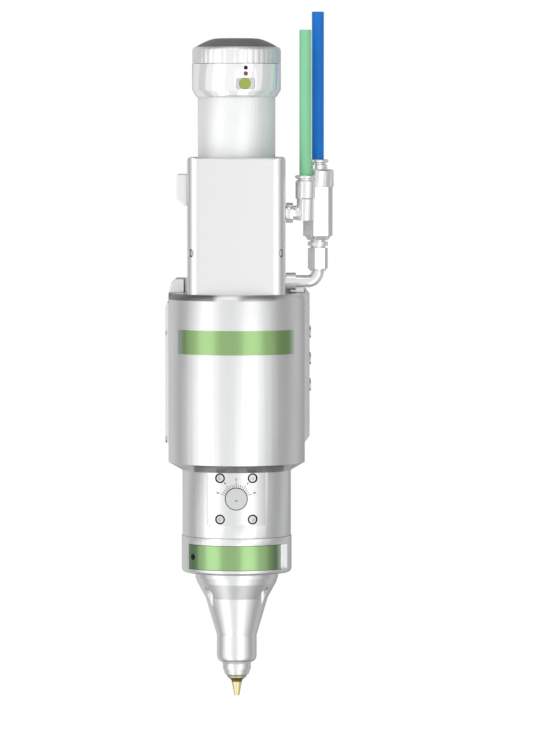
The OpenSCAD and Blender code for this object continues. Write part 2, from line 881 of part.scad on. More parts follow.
module lower_drawer() {
  color(green)
    difference() {
      union() {
        translate([0, 0, z_drawer])
          curved_panel(
            ring_d / 2, drawer_inner_r, drawer_front_h, drawer_arc_left, drawer_arc_right
          );
        translate([0, 0, z_tray])
          linear_extrude(tray_t)
            tray_outline(0);
      }
      translate([0, 0, z_tray - over])
        cylinder(d = tray_clear_d, h = tray_t + 2 * over);
      translate([0, 0, z_window])
        cylinder(d = window_d + 2 * fit_gap, h = tray_t);
      out_of_front(-lock_screw_angle, drawer_inner_r - over, z_drawer + drawer_front_h / 2)
        cylinder(d = lock_screw_d + 2 * fit_gap, h = drawer_front_t + 2 * over);
    }
}

module lower_window() {
  color(glass)
    translate([0, 0, z_window])
      cylinder(d = window_d, h = window_t);
}

// A round seal that lies on a window
module window_seal(d, z) {
  color(dark)
    translate([0, 0, z + seal_d / 2])
      rotate_extrude()
        translate([(d - seal_d) / 2, 0])
          circle(d = seal_d, $fn = 32);
}

module lower_seal() {
  window_seal(window_d, z_window + window_t);
}

module drawer_lock_screw() {
  sunk = 0.8;
  length = drawer_front_t - sunk;
  color(steel)
    out_of_front(-lock_screw_angle, drawer_inner_r, z_drawer + drawer_front_h / 2)
      difference() {
        cylinder(d = lock_screw_d, h = length);
        translate([0, 0, length * (1 - socket_share)])
          cylinder(d = lock_screw_d * 0.6, h = length, $fn = 6);
      }
}

// Places of the scale screws' seats
module scale_screw_places() {
  for (x = [-1, 1], z = [-1, 1])
    out_of_front(
      x * scale_screw_angle, scale_r - scale_head_sink, z_dial + z * scale_screw_dz / 2
    )
      children();
}

module scale_screw_hole() {
  translate([0, 0, -scale_thread_h - 0.4])
    cylinder(d = scale_screw_d + 2 * fit_gap, h = scale_thread_h + over);
}

module neck_barrel() {
  gear_bay_x = pitch_r + tooth_tip + 1;
  gear_bay_w = gear_bay_x + rack_x + rack_back + gear_bay_gap;
  edge = 0.5;
  color(silver)
    difference() {
      rotate_extrude()
        polygon([
          [neck_bore_d / 2, z_neck],
          [neck_r - edge, z_neck],
          [neck_r, z_neck + edge],
          [neck_r, z_body],
          [neck_bore_d / 2, z_body]
        ]);
      translate([0, 0, z_scale])
        curved_panel(
          neck_r + over,
          scale_r - scale_t - fit_gap,
          neck_h,
          scale_arc + fit_gap,
          scale_arc + fit_gap
        );
      translate([-gear_bay_x, -gear_y, z_gear_bay])
        cube([gear_bay_w, pinion_w + 2 * gear_bay_gap, neck_h]);
      translate([0, -gear_y + gear_bay_gap, z_dial])
        rotate([90, 0, 0])
          cylinder(d = spindle_d + 2 * run_gap, h = neck_r);
      scale_screw_places()
        scale_screw_hole();
    }
}

// The graduations' grooves, cut to an even depth all round
module scale_ticks() {
  tick_w = 0.35;
  tick_deep = 0.3;
  tick_in = dial_d / 2 + 0.8;
  tick_short = 2;
  tick_long = 3.2;
  intersection() {
    for (i = [-tick_count : tick_count])
      translate([0, -neck_r - over, z_dial])
        rotate([0, i * tick_step, 0])
          translate([-tick_w / 2, 0, tick_in])
            cube([tick_w, neck_r, i % 4 == 0 ? tick_long : tick_short]);
    translate([0, 0, z_scale])
      pipe(2 * (neck_r + over), 2 * (scale_r - tick_deep), neck_h);
  }
}

module scale_plate() {
  color(pale)
    difference() {
      translate([0, 0, z_scale])
        curved_panel(scale_r, scale_r - scale_t, z_body - z_scale, scale_arc, scale_arc);
      translate([0, 0, z_dial])
        rotate([90, 0, 0])
          cylinder(d = spindle_d + 4 * run_gap, h = neck_r);
      translate([0, -scale_r + dial_sink, z_dial])
        rotate([90, 0, 0])
          cylinder(d = dial_d + 2 * dial_bore_gap, h = neck_r);
      scale_screw_places() {
        scale_screw_hole();
        cylinder(d = scale_head_bore_d, h = neck_r);
      }
      scale_ticks();
    }
}

module scale_screws() {
  color(steel)
    scale_screw_places()
      cap_screw(scale_head_d, scale_head_h, scale_screw_d, scale_thread_h);
}

module focus_dial() {
  dimple_d = 1.4;
  mark_w = 0.5;
  mark_h = 2.4;
  mark_deep = 0.3;
  spindle_h = dial_y - gear_y + gear_bay_gap + pinion_w;
  color(steel)
    translate([0, -dial_y, z_dial])
      rotate([90, 0, 0])
        difference() {
          union() {
            cylinder(d = dial_d, h = dial_t);
            translate([0, 0, -spindle_h])
              cylinder(d = spindle_d, h = spindle_h + dial_t / 2);
          }
          translate([0, -dimple_d, dial_t - mark_deep])
            cylinder(d = dimple_d, h = over);
          translate([-mark_w / 2, dial_d / 2 - mark_h, dial_t - mark_deep])
            cube([mark_w, dial_d, over]);
        }
}

// Half the angle that a pinion tooth spans at a radius, in degrees
function roll(r) =
  let (base_r = pitch_r * cos(pressure_angle), a = acos(min(1, base_r / r))) tan(a) * 180 / PI - a;
function half_tooth(r) =
  tooth_w / pitch_r * 90 / PI + roll(pitch_r) - roll(max(r, pitch_r * cos(pressure_angle)));

module dial_pinion() {
  root_r = pitch_r - tooth_root;
  tip_r = pitch_r + tooth_tip;
  flank = [for (i = [0 : 4]) root_r + (tip_r - root_r) * i / 4];
  color(steel)
    translate([0, -gear_y + gear_bay_gap + pinion_w, z_dial])
      rotate([90, 0, 0])
        linear_extrude(pinion_w)
          difference() {
            polygon([
              for (tooth = [0 : pinion_teeth - 1])
                for (side = [-1, 1], i = [0 : 4])
                  let (
                    r = flank[side < 0 ? i : 4 - i],
                    a = tooth * 360 / pinion_teeth + side * half_tooth(r)
                  )
                  [r * cos(a), r * sin(a)]
            ]);
            circle(d = spindle_d + 2 * fit_gap);
          }
}

module focus_rack() {
  slope = tan(pressure_angle);
  teeth = floor((travel_up + travel_down + 2 * rack_mesh) / tooth_pitch);
  tip_half = tooth_w / 2 - tooth_tip * slope;
  root_half = tooth_w / 2 + tooth_root * slope;
  color(steel)
    translate([0, -rack_y + rack_w / 2, 0])
      rotate([90, 0, 0])
        linear_extrude(rack_w)
          union() {
            translate([rack_x, z_rack])
              square([rack_back, z_carriage - z_rack]);
            for (i = [0 : teeth - 1])
              translate([pitch_r, z_rack + (i + 1) * tooth_pitch + rack_phase()])
                polygon([
                  [-tooth_tip, -tip_half],
                  [tooth_root + 0.1, -root_half],
                  [tooth_root + 0.1, root_half],
                  [-tooth_tip, tip_half]
                ]);
          }
}

// Shift that puts a gap of the rack level with the pinion's axis at rest
function rack_phase() =
  let (rise = (z_dial - z_rack) / tooth_pitch - 0.5) (rise - floor(rise)) * tooth_pitch;

module focus_carriage() {
  lug_x = rack_x - 1;
  lug_w = rack_back + 2;
  color(silver)
    translate([0, 0, z_carriage])
      difference() {
        union() {
          cylinder(d = carriage_d, h = carriage_h);
          translate([-rod_x, -rod_boss_r, 0])
            cube([2 * rod_x, 2 * rod_boss_r, arm_h]);
          for (x = [-1, 1])
            translate([x * rod_x, 0, 0])
              cylinder(r = rod_boss_r, h = arm_h);
          translate([-nut_boss_r, 0, 0])
            cube([2 * nut_boss_r, motor_y, arm_h]);
          translate([0, motor_y, 0])
            cylinder(r = nut_boss_r, h = arm_h);
          translate([lug_x, -rack_y - rack_w / 2, 0])
            cube([lug_w, rack_y, arm_h]);
        }
        translate([0, 0, -over])
          cylinder(d = lens_clear_d, h = carriage_h + 2 * over);
        translate([0, 0, carriage_h - lens_drop])
          cylinder(d = lens_d + 2 * fit_gap, h = carriage_h);
        for (x = [-1, 1])
          translate([x * rod_x, 0, -over])
            cylinder(d = rod_d + 2 * run_gap, h = arm_h + 2 * over);
        translate([0, motor_y, -over])
          cylinder(d = lead_screw_d + 2 * run_gap, h = arm_h + 2 * over);
      }
}

module focus_lens() {
  color(glass)
    translate([0, 0, z_carriage + carriage_h - lens_drop + lens_bulge])
      lens(lens_d, lens_edge_t, lens_rise);
}

module focus_retainer() {
  color(dark)
    translate([0, 0, z_carriage + carriage_h - retainer_h - lens_seat])
      pipe(lens_d, lens_clear_d, retainer_h);
}

module guide_rods() {
  color(steel)
    for (x = [-1, 1])
      translate([x * rod_x, 0, z_floor - rod_seat])
        cylinder(d = rod_d, h = z_plate - z_floor + 2 * rod_seat);
}

module lead_screw() {
  collar_h = 3;
  color(steel)
    translate([0, motor_y, 0]) {
      translate([0, 0, z_floor - rod_seat + 0.3])
        cylinder(d = journal_d, h = rod_seat);
      translate([0, 0, z_floor + 0.3])
        cylinder(r = bearing_r, h = collar_h);
      translate([0, 0, z_floor + 0.3 + collar_h])
        cylinder(d = lead_screw_d, h = z_motor - z_floor - collar_h - 0.6);
    }
}

module screw_bearing() {
  color(steel)
    translate([0, motor_y, z_floor - rod_seat])
      pipe(2 * bearing_r, journal_d + 2 * run_gap, rod_seat);
}

module focus_motor() {
  cap_h = 6;
  color(dark)
    translate([0, motor_y, z_motor]) {
      cylinder(d = motor_d, h = motor_h - cap_h);
      translate([0, 0, motor_h - cap_h])
        cylinder(d = motor_d - 1.6, h = cap_h);
    }
}

module drum() {
  rotate_extrude()
    polygon([
      [0, z_body],
      [half_w - foot_slope, z_body],
      [half_w, z_body + foot_slope_h],
      [half_w, z_box - top_bevel_h],
      [half_w - top_bevel, z_box],
      [0, z_box]
    ]);
}

module mount_holes() {
  for (x = [-1, 1], z = [-1, 1])
    translate([x * mount_dx / 2, rear_y - mount_hole_h, z_mount + z * mount_dz / 2])
      rotate([-90, 0, 0])
        cylinder(d = mount_hole_d, h = mount_hole_h + over);
}

// Places of the screws of one cover, on the drum's side at X = 0 with +Z pointing out
module right_cover_places() {
  for (i = [-1 : 1], y = [0, 1])
    translate([
      half_w,
      cover_y + side_bay_frame / 2 + y * (cover_w - side_bay_frame),
      z_cover_mid + i * cover_screw_step
    ])
      rotate([0, 90, 0])
        children();
}

module left_cover_places() {
  for (i = [-1, 1], y = [0, 1])
    translate([
      -half_w,
      cover_y + side_bay_frame / 2 + y * (cover_w - side_bay_frame),
      z_cover_mid - cover_screw_step + i * 2 * cover_screw_step
    ])
      rotate([0, -90, 0])
        children();
}

module cover_thread() {
  translate([0, 0, -cover_thread_h - 0.4])
    cylinder(d = cover_screw_d + 2 * fit_gap, h = cover_thread_h + over);
}

module main_housing() {
  z_side_bay = z_cover_mid - cover_screw_step - side_bay_h / 2;
  color(silver)
    difference() {
      union() {
        drum();
        translate([-half_w, 0, z_rear])
          cube([2 * half_w, rear_y, z_box - z_rear]);
      }
      translate([0, 0, z_floor])
        cylinder(r = bay_r, h = body_h);
      translate([0, 0, z_plate])
        cylinder(r = plate_r + fit_gap, h = body_h);
      translate([0, 0, z_body - over])
        cylinder(d = floor_bore_d, h = floor_t + 2 * over);
      translate([rack_slot_x, -rack_y - rack_w / 2 - gear_bay_gap, z_body - over])
        cube([rack_slot_w, rack_w + 2 * gear_bay_gap, floor_t + 2 * over]);
      for (x = [-1, 1])
        translate([x * rod_x, 0, z_floor - rod_seat])
          cylinder(d = rod_d + 2 * fit_gap, h = floor_t);
      translate([0, motor_y, z_floor - rod_seat])
        cylinder(r = bearing_r + fit_gap, h = floor_t);
      for (x = [-1, 1])
        translate([
          x > 0 ? half_w - side_bay_depth : -half_w - over,
          cover_y + side_bay_frame,
          z_side_bay
        ])
          cube([side_bay_depth + over, side_bay_w, side_bay_h]);
      mount_holes();
      left_cover_places()
        cover_thread();
      right_cover_places()
        cover_thread();
    }
}

module bay_plate() {
  color(steel)
    translate([0, 0, z_plate])
      difference() {
        pipe(2 * plate_r, beam_d, plate_t);
        for (x = [-1, 1])
          translate([x * rod_x, 0, -over])
            cylinder(d = rod_d + 2 * fit_gap, h = rod_seat + over);
      }
}

module shoulder_cap() {
  color(silver)
    difference() {
      translate([0, rear_y, z_box])
        rotate([90, 0, 0])
          linear_extrude(rear_y - shoulder_y)
            polygon([
              [-half_w, 0],
              [half_w, 0],
              [half_w - shoulder_slope, shoulder_h - shoulder_bevel],
              [half_w - shoulder_slope - shoulder_bevel, shoulder_h],
              [-half_w + shoulder_slope + shoulder_bevel, shoulder_h],
              [-half_w + shoulder_slope, shoulder_h - shoulder_bevel]
            ]);
      translate([-shoulder_x, -over, z_box - over])
        cube([2 * shoulder_x, lip_y + over, shoulder_h + 2 * over]);
    }
}

module curved_plate() {
  color(green)
    translate([0, 0, z_body + label_lift])
      curved_panel(half_w + label_t, half_w + fit_gap, label_h, label_arc_left, label_arc_right);
}

// A side cover seen from the front: a plate with sloped ends
module cover_blank(t, h) {
  translate([0, cover_y + cover_w, 0])
    rotate([90, 0, 0])
      linear_extrude(cover_w)
        polygon([[0, 0], [t, cover_slope], [t, h - cover_slope], [0, h]]);
}

module left_cover() {
  color(silver)
    difference() {
      translate([-half_w, 0, z_body + left_cover_lift])
        mirror([1, 0, 0])
          cover_blank(left_cover_t, left_cover_h);
      left_cover_places() {
        translate([0, 0, -over])
          cylinder(d = cover_screw_d + 2 * fit_gap, h = left_cover_t + 2 * over);
        translate([0, 0, left_cover_t / 2])
          cylinder(d = cover_head_d - 1, h = left_cover_t);
      }
    }
}

module right_cover() {
  color(silver)
    difference() {
      translate([half_w, 0, z_body + right_cover_lift])
        cover_blank(right_cover_t, right_cover_h);
      right_cover_places()
        translate([0, 0, -over])
          cylinder(d = cover_screw_d + 2 * fit_gap, h = right_cover_t + 2 * over);
    }
}

module left_cover_screws() {
  color(steel)
    left_cover_places()
      translate([0, 0, left_cover_t / 2])
        cap_screw(
          cover_head_d - 1 - 2 * fit_gap,
          left_cover_t / 2,
          cover_screw_d,
          cover_thread_h + left_cover_t / 2
        );
}

module right_cover_screws() {
  color(steel)
    right_cover_places()
      translate([0, 0, right_cover_t])
        cap_screw(cover_head_d, cover_head_h, cover_screw_d, cover_thread_h + right_cover_t);
}

module drive_board() {
  board_h = side_bay_h - 2 * board_margin;
  board_w = side_bay_w - board_margin;
  chip = [8, 10, 1.6];
  color("#2f6b46")
    translate([
      half_w - side_bay_depth + board_gap,
      cover_y + cover_w / 2,
      z_cover_mid - cover_screw_step
    ]) {
      translate([0, -board_w / 2, -board_h / 2])
        cube([board_t, board_w, board_h]);
      for (y = [-1, 1], z = [-1, 1])
        translate([-board_gap, y * (board_w / 2 - board_foot_d), z * (board_h / 2 - board_foot_d)])
          rotate([0, 90, 0])
            cylinder(d = board_foot_d, h = board_gap + board_t / 2);
      for (z = [-1, 1])
        translate([board_t / 2, -chip[0] / 2, z * board_h / 4 - chip[1] / 2])
          cube([board_t / 2 + chip[2], chip[0], chip[1]]);
    }
}

module connector() {
  contact_count = 6;
  contact_h = 3;
  color(steel)
    translate([0, connector_y, z_box + shoulder_h]) {
      translate([-connector_base / 2, -connector_base / 2, 0])
        cube([connector_base, connector_base, connector_base_t]);
      translate([0, 0, connector_base_t])
        pipe(connector_d, connector_d - 2.4, connector_h - connector_base_t);
      for (i = [0 : contact_count - 1])
        rotate([0, 0, i * 360 / contact_count])
          translate([3, 0, connector_base_t / 2])
            cylinder(d = 1, h = connector_base_t / 2 + contact_h);
    }
}

// Sideways outline of the collimation housing, with its top edges rounded
module round_top(w, h, r) {
  union() {
    translate([-w / 2, 0])
      square([w, h - r]);
    translate([-w / 2 + r, 0])
      square([w - 2 * r, h]);
    for (x = [-1, 1])
      translate([x * (w / 2 - r), h - r])
        circle(r);
  }
}

module centring_places(side) {
  out_of_front(side * box_corner_angle, 0, z_centring)
    children();
}

module fitting_port(y, z) {
  translate([side_x + over, y, z])
    rotate([0, -90, 0])
      cylinder(d = stem_d + 2 * run_gap, h = stem_h + over + 0.4);
}

module collimation_housing() {
  color(pale)
    difference() {
      translate([0, 0, z_box])
        intersection() {
          round_bar(box_w, box_depth, box_h, box_corner);
          translate([0, box_depth / 2, 0])
            rotate([90, 0, 0])
              linear_extrude(box_depth)
                round_top(box_w, box_h, box_top_round);
          translate([-box_w / 2, 0, 0])
            rotate([90, 0, 90])
              linear_extrude(box_w)
                round_top(box_depth, box_h, box_top_round);
        }
      translate([0, 0, z_box - over])
        cylinder(d = beam_d, h = cell_floor + 2 * over);
      translate([0, 0, z_cell])
        cylinder(d = box_bore_d, h = box_h);
      translate([
        -box_w / 2 - over,
        -upper_tray_w / 2 - drawer_gap,
        z_upper_tray - drawer_gap
      ])
        cube([
          box_w / 2 + over + upper_tray_reach + drawer_gap,
          upper_tray_w + 2 * drawer_gap,
          upper_tray_t + 2 * drawer_gap
        ]);
      for (side = [-1, 1])
        centring_places(side) {
          cylinder(d = centring_shank_d + 2 * run_gap, h = box_corner_reach);
          translate([0, 0, box_corner_reach - centring_sink - centring_head_h - 0.3])
            cylinder(d = centring_bore_d, h = box_corner);
        }
      fitting_port(-green_y, z_green);
      fitting_port(blue_y, z_blue);
    }
}

module lens_cell() {
  color(steel)
    translate([0, 0, z_cell])
      difference() {
        pipe(cell_d, lens_clear_d, cell_h);
        translate([0, 0, cell_h - lens_drop])
          cylinder(d = lens_d + 2 * fit_gap, h = cell_h);
      }
}

module collimator_lens() {
  color(glass)
    translate([0, 0, z_cell + cell_h - lens_drop + lens_bulge])
      lens(lens_d, lens_edge_t, lens_rise);
}

module lens_retainer() {
  color(dark)
    translate([0, 0, z_cell + cell_h - retainer_h - lens_seat])
      pipe(lens_d, lens_clear_d, retainer_h);
}

module centring_screw(side) {
  head_z = box_corner_reach - centring_sink - centring_head_h;
  tip_gap = 0.2;
  color(steel)
    centring_places(side)
      translate([0, 0, head_z])
        cap_screw(
          centring_head_d, centring_head_h, centring_shank_d, head_z - cell_d / 2 - tip_gap
        );
}

module centring_screw_left() {
  centring_screw(-1);
}

module centring_screw_right() {
  centring_screw(1);
}

module upper_drawer() {
  bevel = upper_front_bevel;
  face = 0.3;
  color(silver)
    difference() {
      union() {
        translate([-box_w / 2 - face, upper_front_w / 2, z_upper_front])
          rotate([90, 0, 0])
            linear_extrude(upper_front_w)
              polygon([
                [0, 0],
                [0, upper_front_h],
                [-upper_front_t + 0.6, upper_front_h],
                [-upper_front_t, upper_front_h - 0.8],
                [-upper_front_t, bevel],
                [-upper_front_t + bevel, 0]
              ]);
        translate([-box_w / 2 - over, -upper_tray_w / 2, z_upper_tray])
          cube([box_w / 2 + over + upper_tray_reach, upper_tray_w, upper_tray_t]);
      }
      translate([0, 0, z_upper_tray - over])
        cylinder(d = upper_clear_d, h = upper_tray_t + 2 * over);
      translate([0, 0, z_upper_tray + upper_tray_lip])
        cylinder(d = upper_window_d + 2 * fit_gap, h = upper_tray_t);
    }
}

module upper_window() {
  color(glass)
    translate([0, 0, z_upper_tray + upper_tray_lip])
      cylinder(d = upper_window_d, h = upper_window_t);
}

module upper_seal() {
  window_seal(upper_window_d, z_upper_tray + upper_tray_lip + upper_window_t);
}

module collimator_tube() {
  color(silver)
    translate([0, 0, z_tube])
      pipe(tube_d, tube_bore_d, tube_h);
}

module receiver_body() {
  spigot_r = tube_bore_d / 2 - fit_gap;
  z_bearing = z_crown - lock_lip_t - lock_float;
  collar_r = collar_d / 2;
  mark_deep = 1;
  color(silver)
    difference() {
      rotate_extrude()
        polygon([
          [port_d / 2, z_collar - spigot_h],
          [spigot_r, z_collar - spigot_h],
          [spigot_r, z_collar],
          [collar_r - skirt_bevel, z_collar],
          [collar_r, z_collar + skirt_bevel_h],
          [collar_r, z_lock],
          [lock_bearing_d / 2, z_lock],
          [lock_bearing_d / 2, z_bearing],
          [port_d / 2, z_bearing]
        ]);
      out_of_front(button_angle, collar_r - pocket_depth, z_button)
        round_bar(pocket_w, pocket_h, 2 * pocket_depth, 1.6);
      out_of_front(button_angle, collar_r - pocket_depth - button_depth, z_button)
        cylinder(d = button_d + 2 * run_gap, h = button_depth + over);
      out_of_front(button_angle, collar_r - mark_deep, z_collar + dot_lift)
        cylinder(d = dot_d + 2 * fit_gap, h = 2 * mark_deep);
      out_of_front(button_angle, collar_r - 4 * mark_deep, z_collar + stop_lift)
        cylinder(d = stop_d + 2 * fit_gap, h = 5 * mark_deep);
    }
}

module release_button() {
  stand = 1.3;
  foot = button_depth - button_travel - 0.3;
  color("#9baf4b")
    out_of_front(button_angle, collar_d / 2 - pocket_depth - foot, z_button)
      cylinder(d = button_d, h = foot + stand);
}

module index_dot() {
  color("#8a3038")
    out_of_front(button_angle, collar_d / 2 - 1, z_collar + dot_lift)
      cylinder(d = dot_d, h = 1.05);
}

module stop_screw() {
  length = 3.9;
  color(dark)
    out_of_front(button_angle, collar_d / 2 - 4, z_collar + stop_lift)
      difference() {
        cylinder(d = stop_d, h = length);
        translate([0, 0, length - 1])
          cylinder(d = stop_d * 0.55, h = length, $fn = 6);
      }
}

module lock_ring() {
  ring_r = collar_d / 2;
  bearing_r = lock_bearing_d / 2 + run_gap;
  mouth_r = bearing_r - lock_lip_w;
  z_low = z_lock + lock_float;
  z_lip = z_crown - lock_lip_t;
  color(silver)
    difference() {
      rotate_extrude()
        polygon([
          [bearing_r, z_low],
          [ring_r, z_low],
          [ring_r, z_crown - 2.4],
          [ring_r - 0.6, z_crown - 1],
          [ring_r - 2, z_crown],
          [mouth_r, z_crown],
          [mouth_r, z_lip],
          [bearing_r, z_lip]
        ]);
      for (i = [0 : flute_count - 1])
        rotate([0, 0, i * 360 / flute_count])
          translate([0, ring_r - flute_depth + flute_r, z_low - over])
            cylinder(r = flute_r, h = lock_h + 2 * over, $fn = 32);
    }
}

// Profile of the dust plug's crown: flat in the middle, drawn down to a firm edge
function crown_z(r) =
  crown_h * (1 - pow(max(0, 2 * r / crown_d - crown_flat) / (1 - crown_flat), 1.5));

module dust_plug() {
  crown_steps = 9;
  stem_bevel = 1;
  color("#6e6a69")
    translate([0, 0, z_crown + crown_float])
      rotate_extrude()
        polygon([
          [0, -plug_h],
          [plug_d / 2 - stem_bevel, -plug_h],
          [plug_d / 2, -plug_h + stem_bevel],
          [plug_d / 2, 0],
          for (i = [crown_steps : -1 : 0])
            let (r = crown_d / 2 * i / crown_steps) [r, crown_z(r)]
        ]);
}

// A release collet: its sleeve hangs in the fitting, its flange stands over the mouth at height z
module collet(z, sleeve_h, flange_d) {
  translate([0, 0, z + collet_float])
    rotate_extrude()
      polygon([
        [hose_seat_r, -collet_float - sleeve_h],
        [collet_r, -collet_float - sleeve_h],
        [collet_r, 0],
        [flange_d / 2 - 0.6, 0],
        [flange_d / 2, 0.6],
        [flange_d / 2, collet_flange_h - 0.6],
        [flange_d / 2 - 0.6, collet_flange_h],
        [hose_seat_r, collet_flange_h]
      ]);
}

// Screw stem and base flange of a fitting, along +X from the housing's side
module fitting_base(flange_d, flange_h) {
  rotate([0, 90, 0]) {
    translate([0, 0, -stem_h])
      pipe(stem_d, flow_d, stem_h + seat_gap + over);
    translate([0, 0, seat_gap])
      pipe(flange_d, flow_d, flange_h - seat_gap);
  }
}

module green_elbow() {
  leg_drop = green_arm_d / 2 + 0.4;
  color(silver)
    difference() {
      union() {
        translate([side_x, -green_y, z_green])
          fitting_base(green_flange_d, base_flange_h);
        translate([side_x + base_flange_h - over, -green_y, z_green])
          rotate([0, 90, 0])
            cylinder(d = green_arm_d, h = green_reach - base_flange_h + over);
        translate([green_x, -green_y, z_green - leg_drop])
          cylinder(d = green_leg_d, h = leg_drop + green_barrel_lift + over);
        translate([green_x, -green_y, z_green_barrel])
          rotate_extrude()
            polygon([
              [0, 0],
              [green_barrel_d / 2 - 1, 0],
              [green_barrel_d / 2, 1],
              [green_barrel_d / 2, green_barrel_h - 0.8],
              [green_barrel_d / 2 - 0.8, green_barrel_h],
              [0, green_barrel_h]
            ]);
      }
      translate([side_x, -green_y, z_green])
        rotate([0, 90, 0])
          cylinder(d = flow_d, h = green_reach);
      translate([green_x, -green_y, z_green])
        cylinder(d = flow_d, h = z_green_top - z_green);
      translate([green_x, -green_y, z_green_seat])
        cylinder(r = hose_seat_r, h = green_seat + over);
      translate([green_x, -green_y, z_green_seat + 1])
        cylinder(r = collet_r + run_gap, h = green_seat + over);
    }
}

module green_collet() {
  color(pale)
    translate([green_x, -green_y, 0])
      collet(z_green_top, green_seat - 1 - collet_travel - 0.4, green_collet_d);
}

// A hose swept along the points of its route
module hose(route, d) {
  rings = len(route);
  points = [
    for (p = route)
      for (i = [0 : hose_sides - 1])
        let (a = i * 360 / hose_sides) p + [d / 2 * cos(a), d / 2 * sin(a), 0]
  ];
  sides = [
    for (k = [0 : rings - 2])
      for (i = [0 : hose_sides - 1])
        let (j = (i + 1) % hose_sides, a = k * hose_sides, b = a + hose_sides)
        [a + j, a + i, b + i, b + j]
  ];
  foot = [[for (i = [0 : hose_sides - 1]) i]];
  head = [[for (i = [hose_sides - 1 : -1 : 0]) (rings - 1) * hose_sides + i]];
  polyhedron(points, concat(foot, head, sides));
}

module green_hose() {
  color("#87cda0")
    hose([for (h = green_route) [green_x, -green_y, z_green_seat + seat_gap + h]], hose_d);
}

module blue_elbow() {
  run = blue_reach - blue_bend_r;
  color(silver)
    translate([side_x, blue_y, z_blue]) {
      fitting_base(blue_flange_d, base_flange_h + 2);
      translate([base_flange_h, 0, 0])
        rotate([0, 90, 0])
          pipe(blue_pipe_d, flow_d, run - base_flange_h);
      translate([run, 0, blue_bend_r])
        rotate([90, 0, 0])
          rotate([0, 0, -90])
            rotate_extrude(angle = 90)
              translate([blue_bend_r, 0])
                difference() {
                  circle(d = blue_pipe_d);
                  circle(d = flow_d);
                }
      translate([blue_reach, 0, blue_bend_r])
        pipe(blue_pipe_d, flow_d, union_h - 1);
    }
}

module union_nut() {
  color(silver)
    translate([blue_x, blue_y, z_union])
      difference() {
        union() {
          cylinder(d1 = union_d - 2 * union_bevel, d2 = union_d - union_bevel, h = union_bevel);
          translate([0, 0, union_bevel])
            rotate([0, 0, hex_turn])
              cylinder(d = union_d, h = union_h - union_bevel, $fn = 6);
        }
        translate([0, 0, -over])
          cylinder(d = blue_pipe_d + 2 * fit_gap, h = union_h + 2 * over);
      }
}

module hex_body() {
  z_neck_low = -hex_taper_h - swivel_h;
  color(silver)
    translate([blue_x, blue_y, z_hex])
      difference() {
        union() {
          translate([0, 0, z_neck_low])
            cylinder(d = swivel_neck_d, h = swivel_h + hex_taper_h);
          translate([0, 0, z_neck_low + 1.4])
            cylinder(d = swivel_d, h = swivel_h - 2.6);
          translate([0, 0, -hex_taper_h])
            cylinder(d1 = hex_body_d * 0.68, d2 = hex_body_d * 0.86, h = hex_taper_h);
          rotate([0, 0, hex_turn])
            cylinder(d = hex_body_d, h = hex_body_h, $fn = 6);
        }
        translate([0, 0, z_neck_low - over])
          cylinder(d = flow_d, h = hex_body_h - z_neck_low + 2 * over);
      }
}

module end_ring() {
  z_seat = end_ring_h + end_neck_h - blue_seat;
  color(silver)
    translate([blue_x, blue_y, z_end_ring])
      difference() {
        rotate_extrude()
          polygon([
            [flow_d / 2, 0],
            [end_ring_d / 2, 0],
            [end_ring_d / 2, end_ring_h - 1],
            [end_ring_d / 2 - 1, end_ring_h],
            [end_neck_d / 2, end_ring_h],
            [end_neck_d / 2, end_ring_h + end_neck_h],
            [flow_d / 2, end_ring_h + end_neck_h]
          ]);
        translate([0, 0, z_seat])
          cylinder(r = hose_seat_r, h = blue_seat + over);
        translate([0, 0, z_seat + 1])
          cylinder(r = collet_r + run_gap, h = blue_seat + over);
      }
}

module blue_collet() {
  color(pale)
    translate([blue_x, blue_y, 0])
      collet(z_blue_top, blue_seat - 1 - collet_travel - 0.4, blue_collet_d);
}

module blue_hose() {
  color("#2873be")
    hose([for (h = blue_route) [blue_x, blue_y, z_blue_seat + seat_gap + h]], hose_d);
}

nozzle();
nozzle_holder();
insulator();
cone_body();
cone_screws();
window_housing();
lower_drawer();
lower_window();
lower_seal();
drawer_lock_screw();
neck_barrel();
scale_plate();
scale_screws();
focus_dial();
dial_pinion();
focus_rack();
focus_carriage();
focus_lens();
focus_retainer();
guide_rods();
lead_screw();
screw_bearing();
focus_motor();
main_housing();
bay_plate();
shoulder_cap();
curved_plate();
left_cover();
right_cover();
left_cover_screws();
right_cover_screws();
drive_board();
connector();
collimation_housing();
lens_cell();
collimator_lens();
lens_retainer();
centring_screw_left();
centring_screw_right();
upper_drawer();
upper_window();
upper_seal();
collimator_tube();
receiver_body();
release_button();
index_dot();
stop_screw();
lock_ring();
dust_plug();
green_elbow();
green_collet();
green_hose();
blue_elbow();
union_nut();
hex_body();
end_ring();
blue_collet();
blue_hose();
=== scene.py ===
import math
import bpy
from mathutils import Matrix, Vector


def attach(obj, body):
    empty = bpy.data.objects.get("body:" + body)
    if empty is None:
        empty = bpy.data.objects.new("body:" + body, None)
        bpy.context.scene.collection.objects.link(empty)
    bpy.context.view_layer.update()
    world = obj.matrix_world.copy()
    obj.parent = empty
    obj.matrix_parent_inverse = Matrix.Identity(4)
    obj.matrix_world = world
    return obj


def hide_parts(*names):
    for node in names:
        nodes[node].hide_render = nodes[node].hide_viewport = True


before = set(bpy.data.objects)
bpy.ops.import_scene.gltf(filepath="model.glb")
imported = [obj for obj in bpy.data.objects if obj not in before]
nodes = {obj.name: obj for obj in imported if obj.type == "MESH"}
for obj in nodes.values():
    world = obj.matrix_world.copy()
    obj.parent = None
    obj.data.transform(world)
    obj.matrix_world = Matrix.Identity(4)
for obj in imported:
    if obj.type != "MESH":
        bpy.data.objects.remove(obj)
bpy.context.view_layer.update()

scene = bpy.context.scene
mm = 0.001
print("frame loaded:", len(nodes), "nodes")

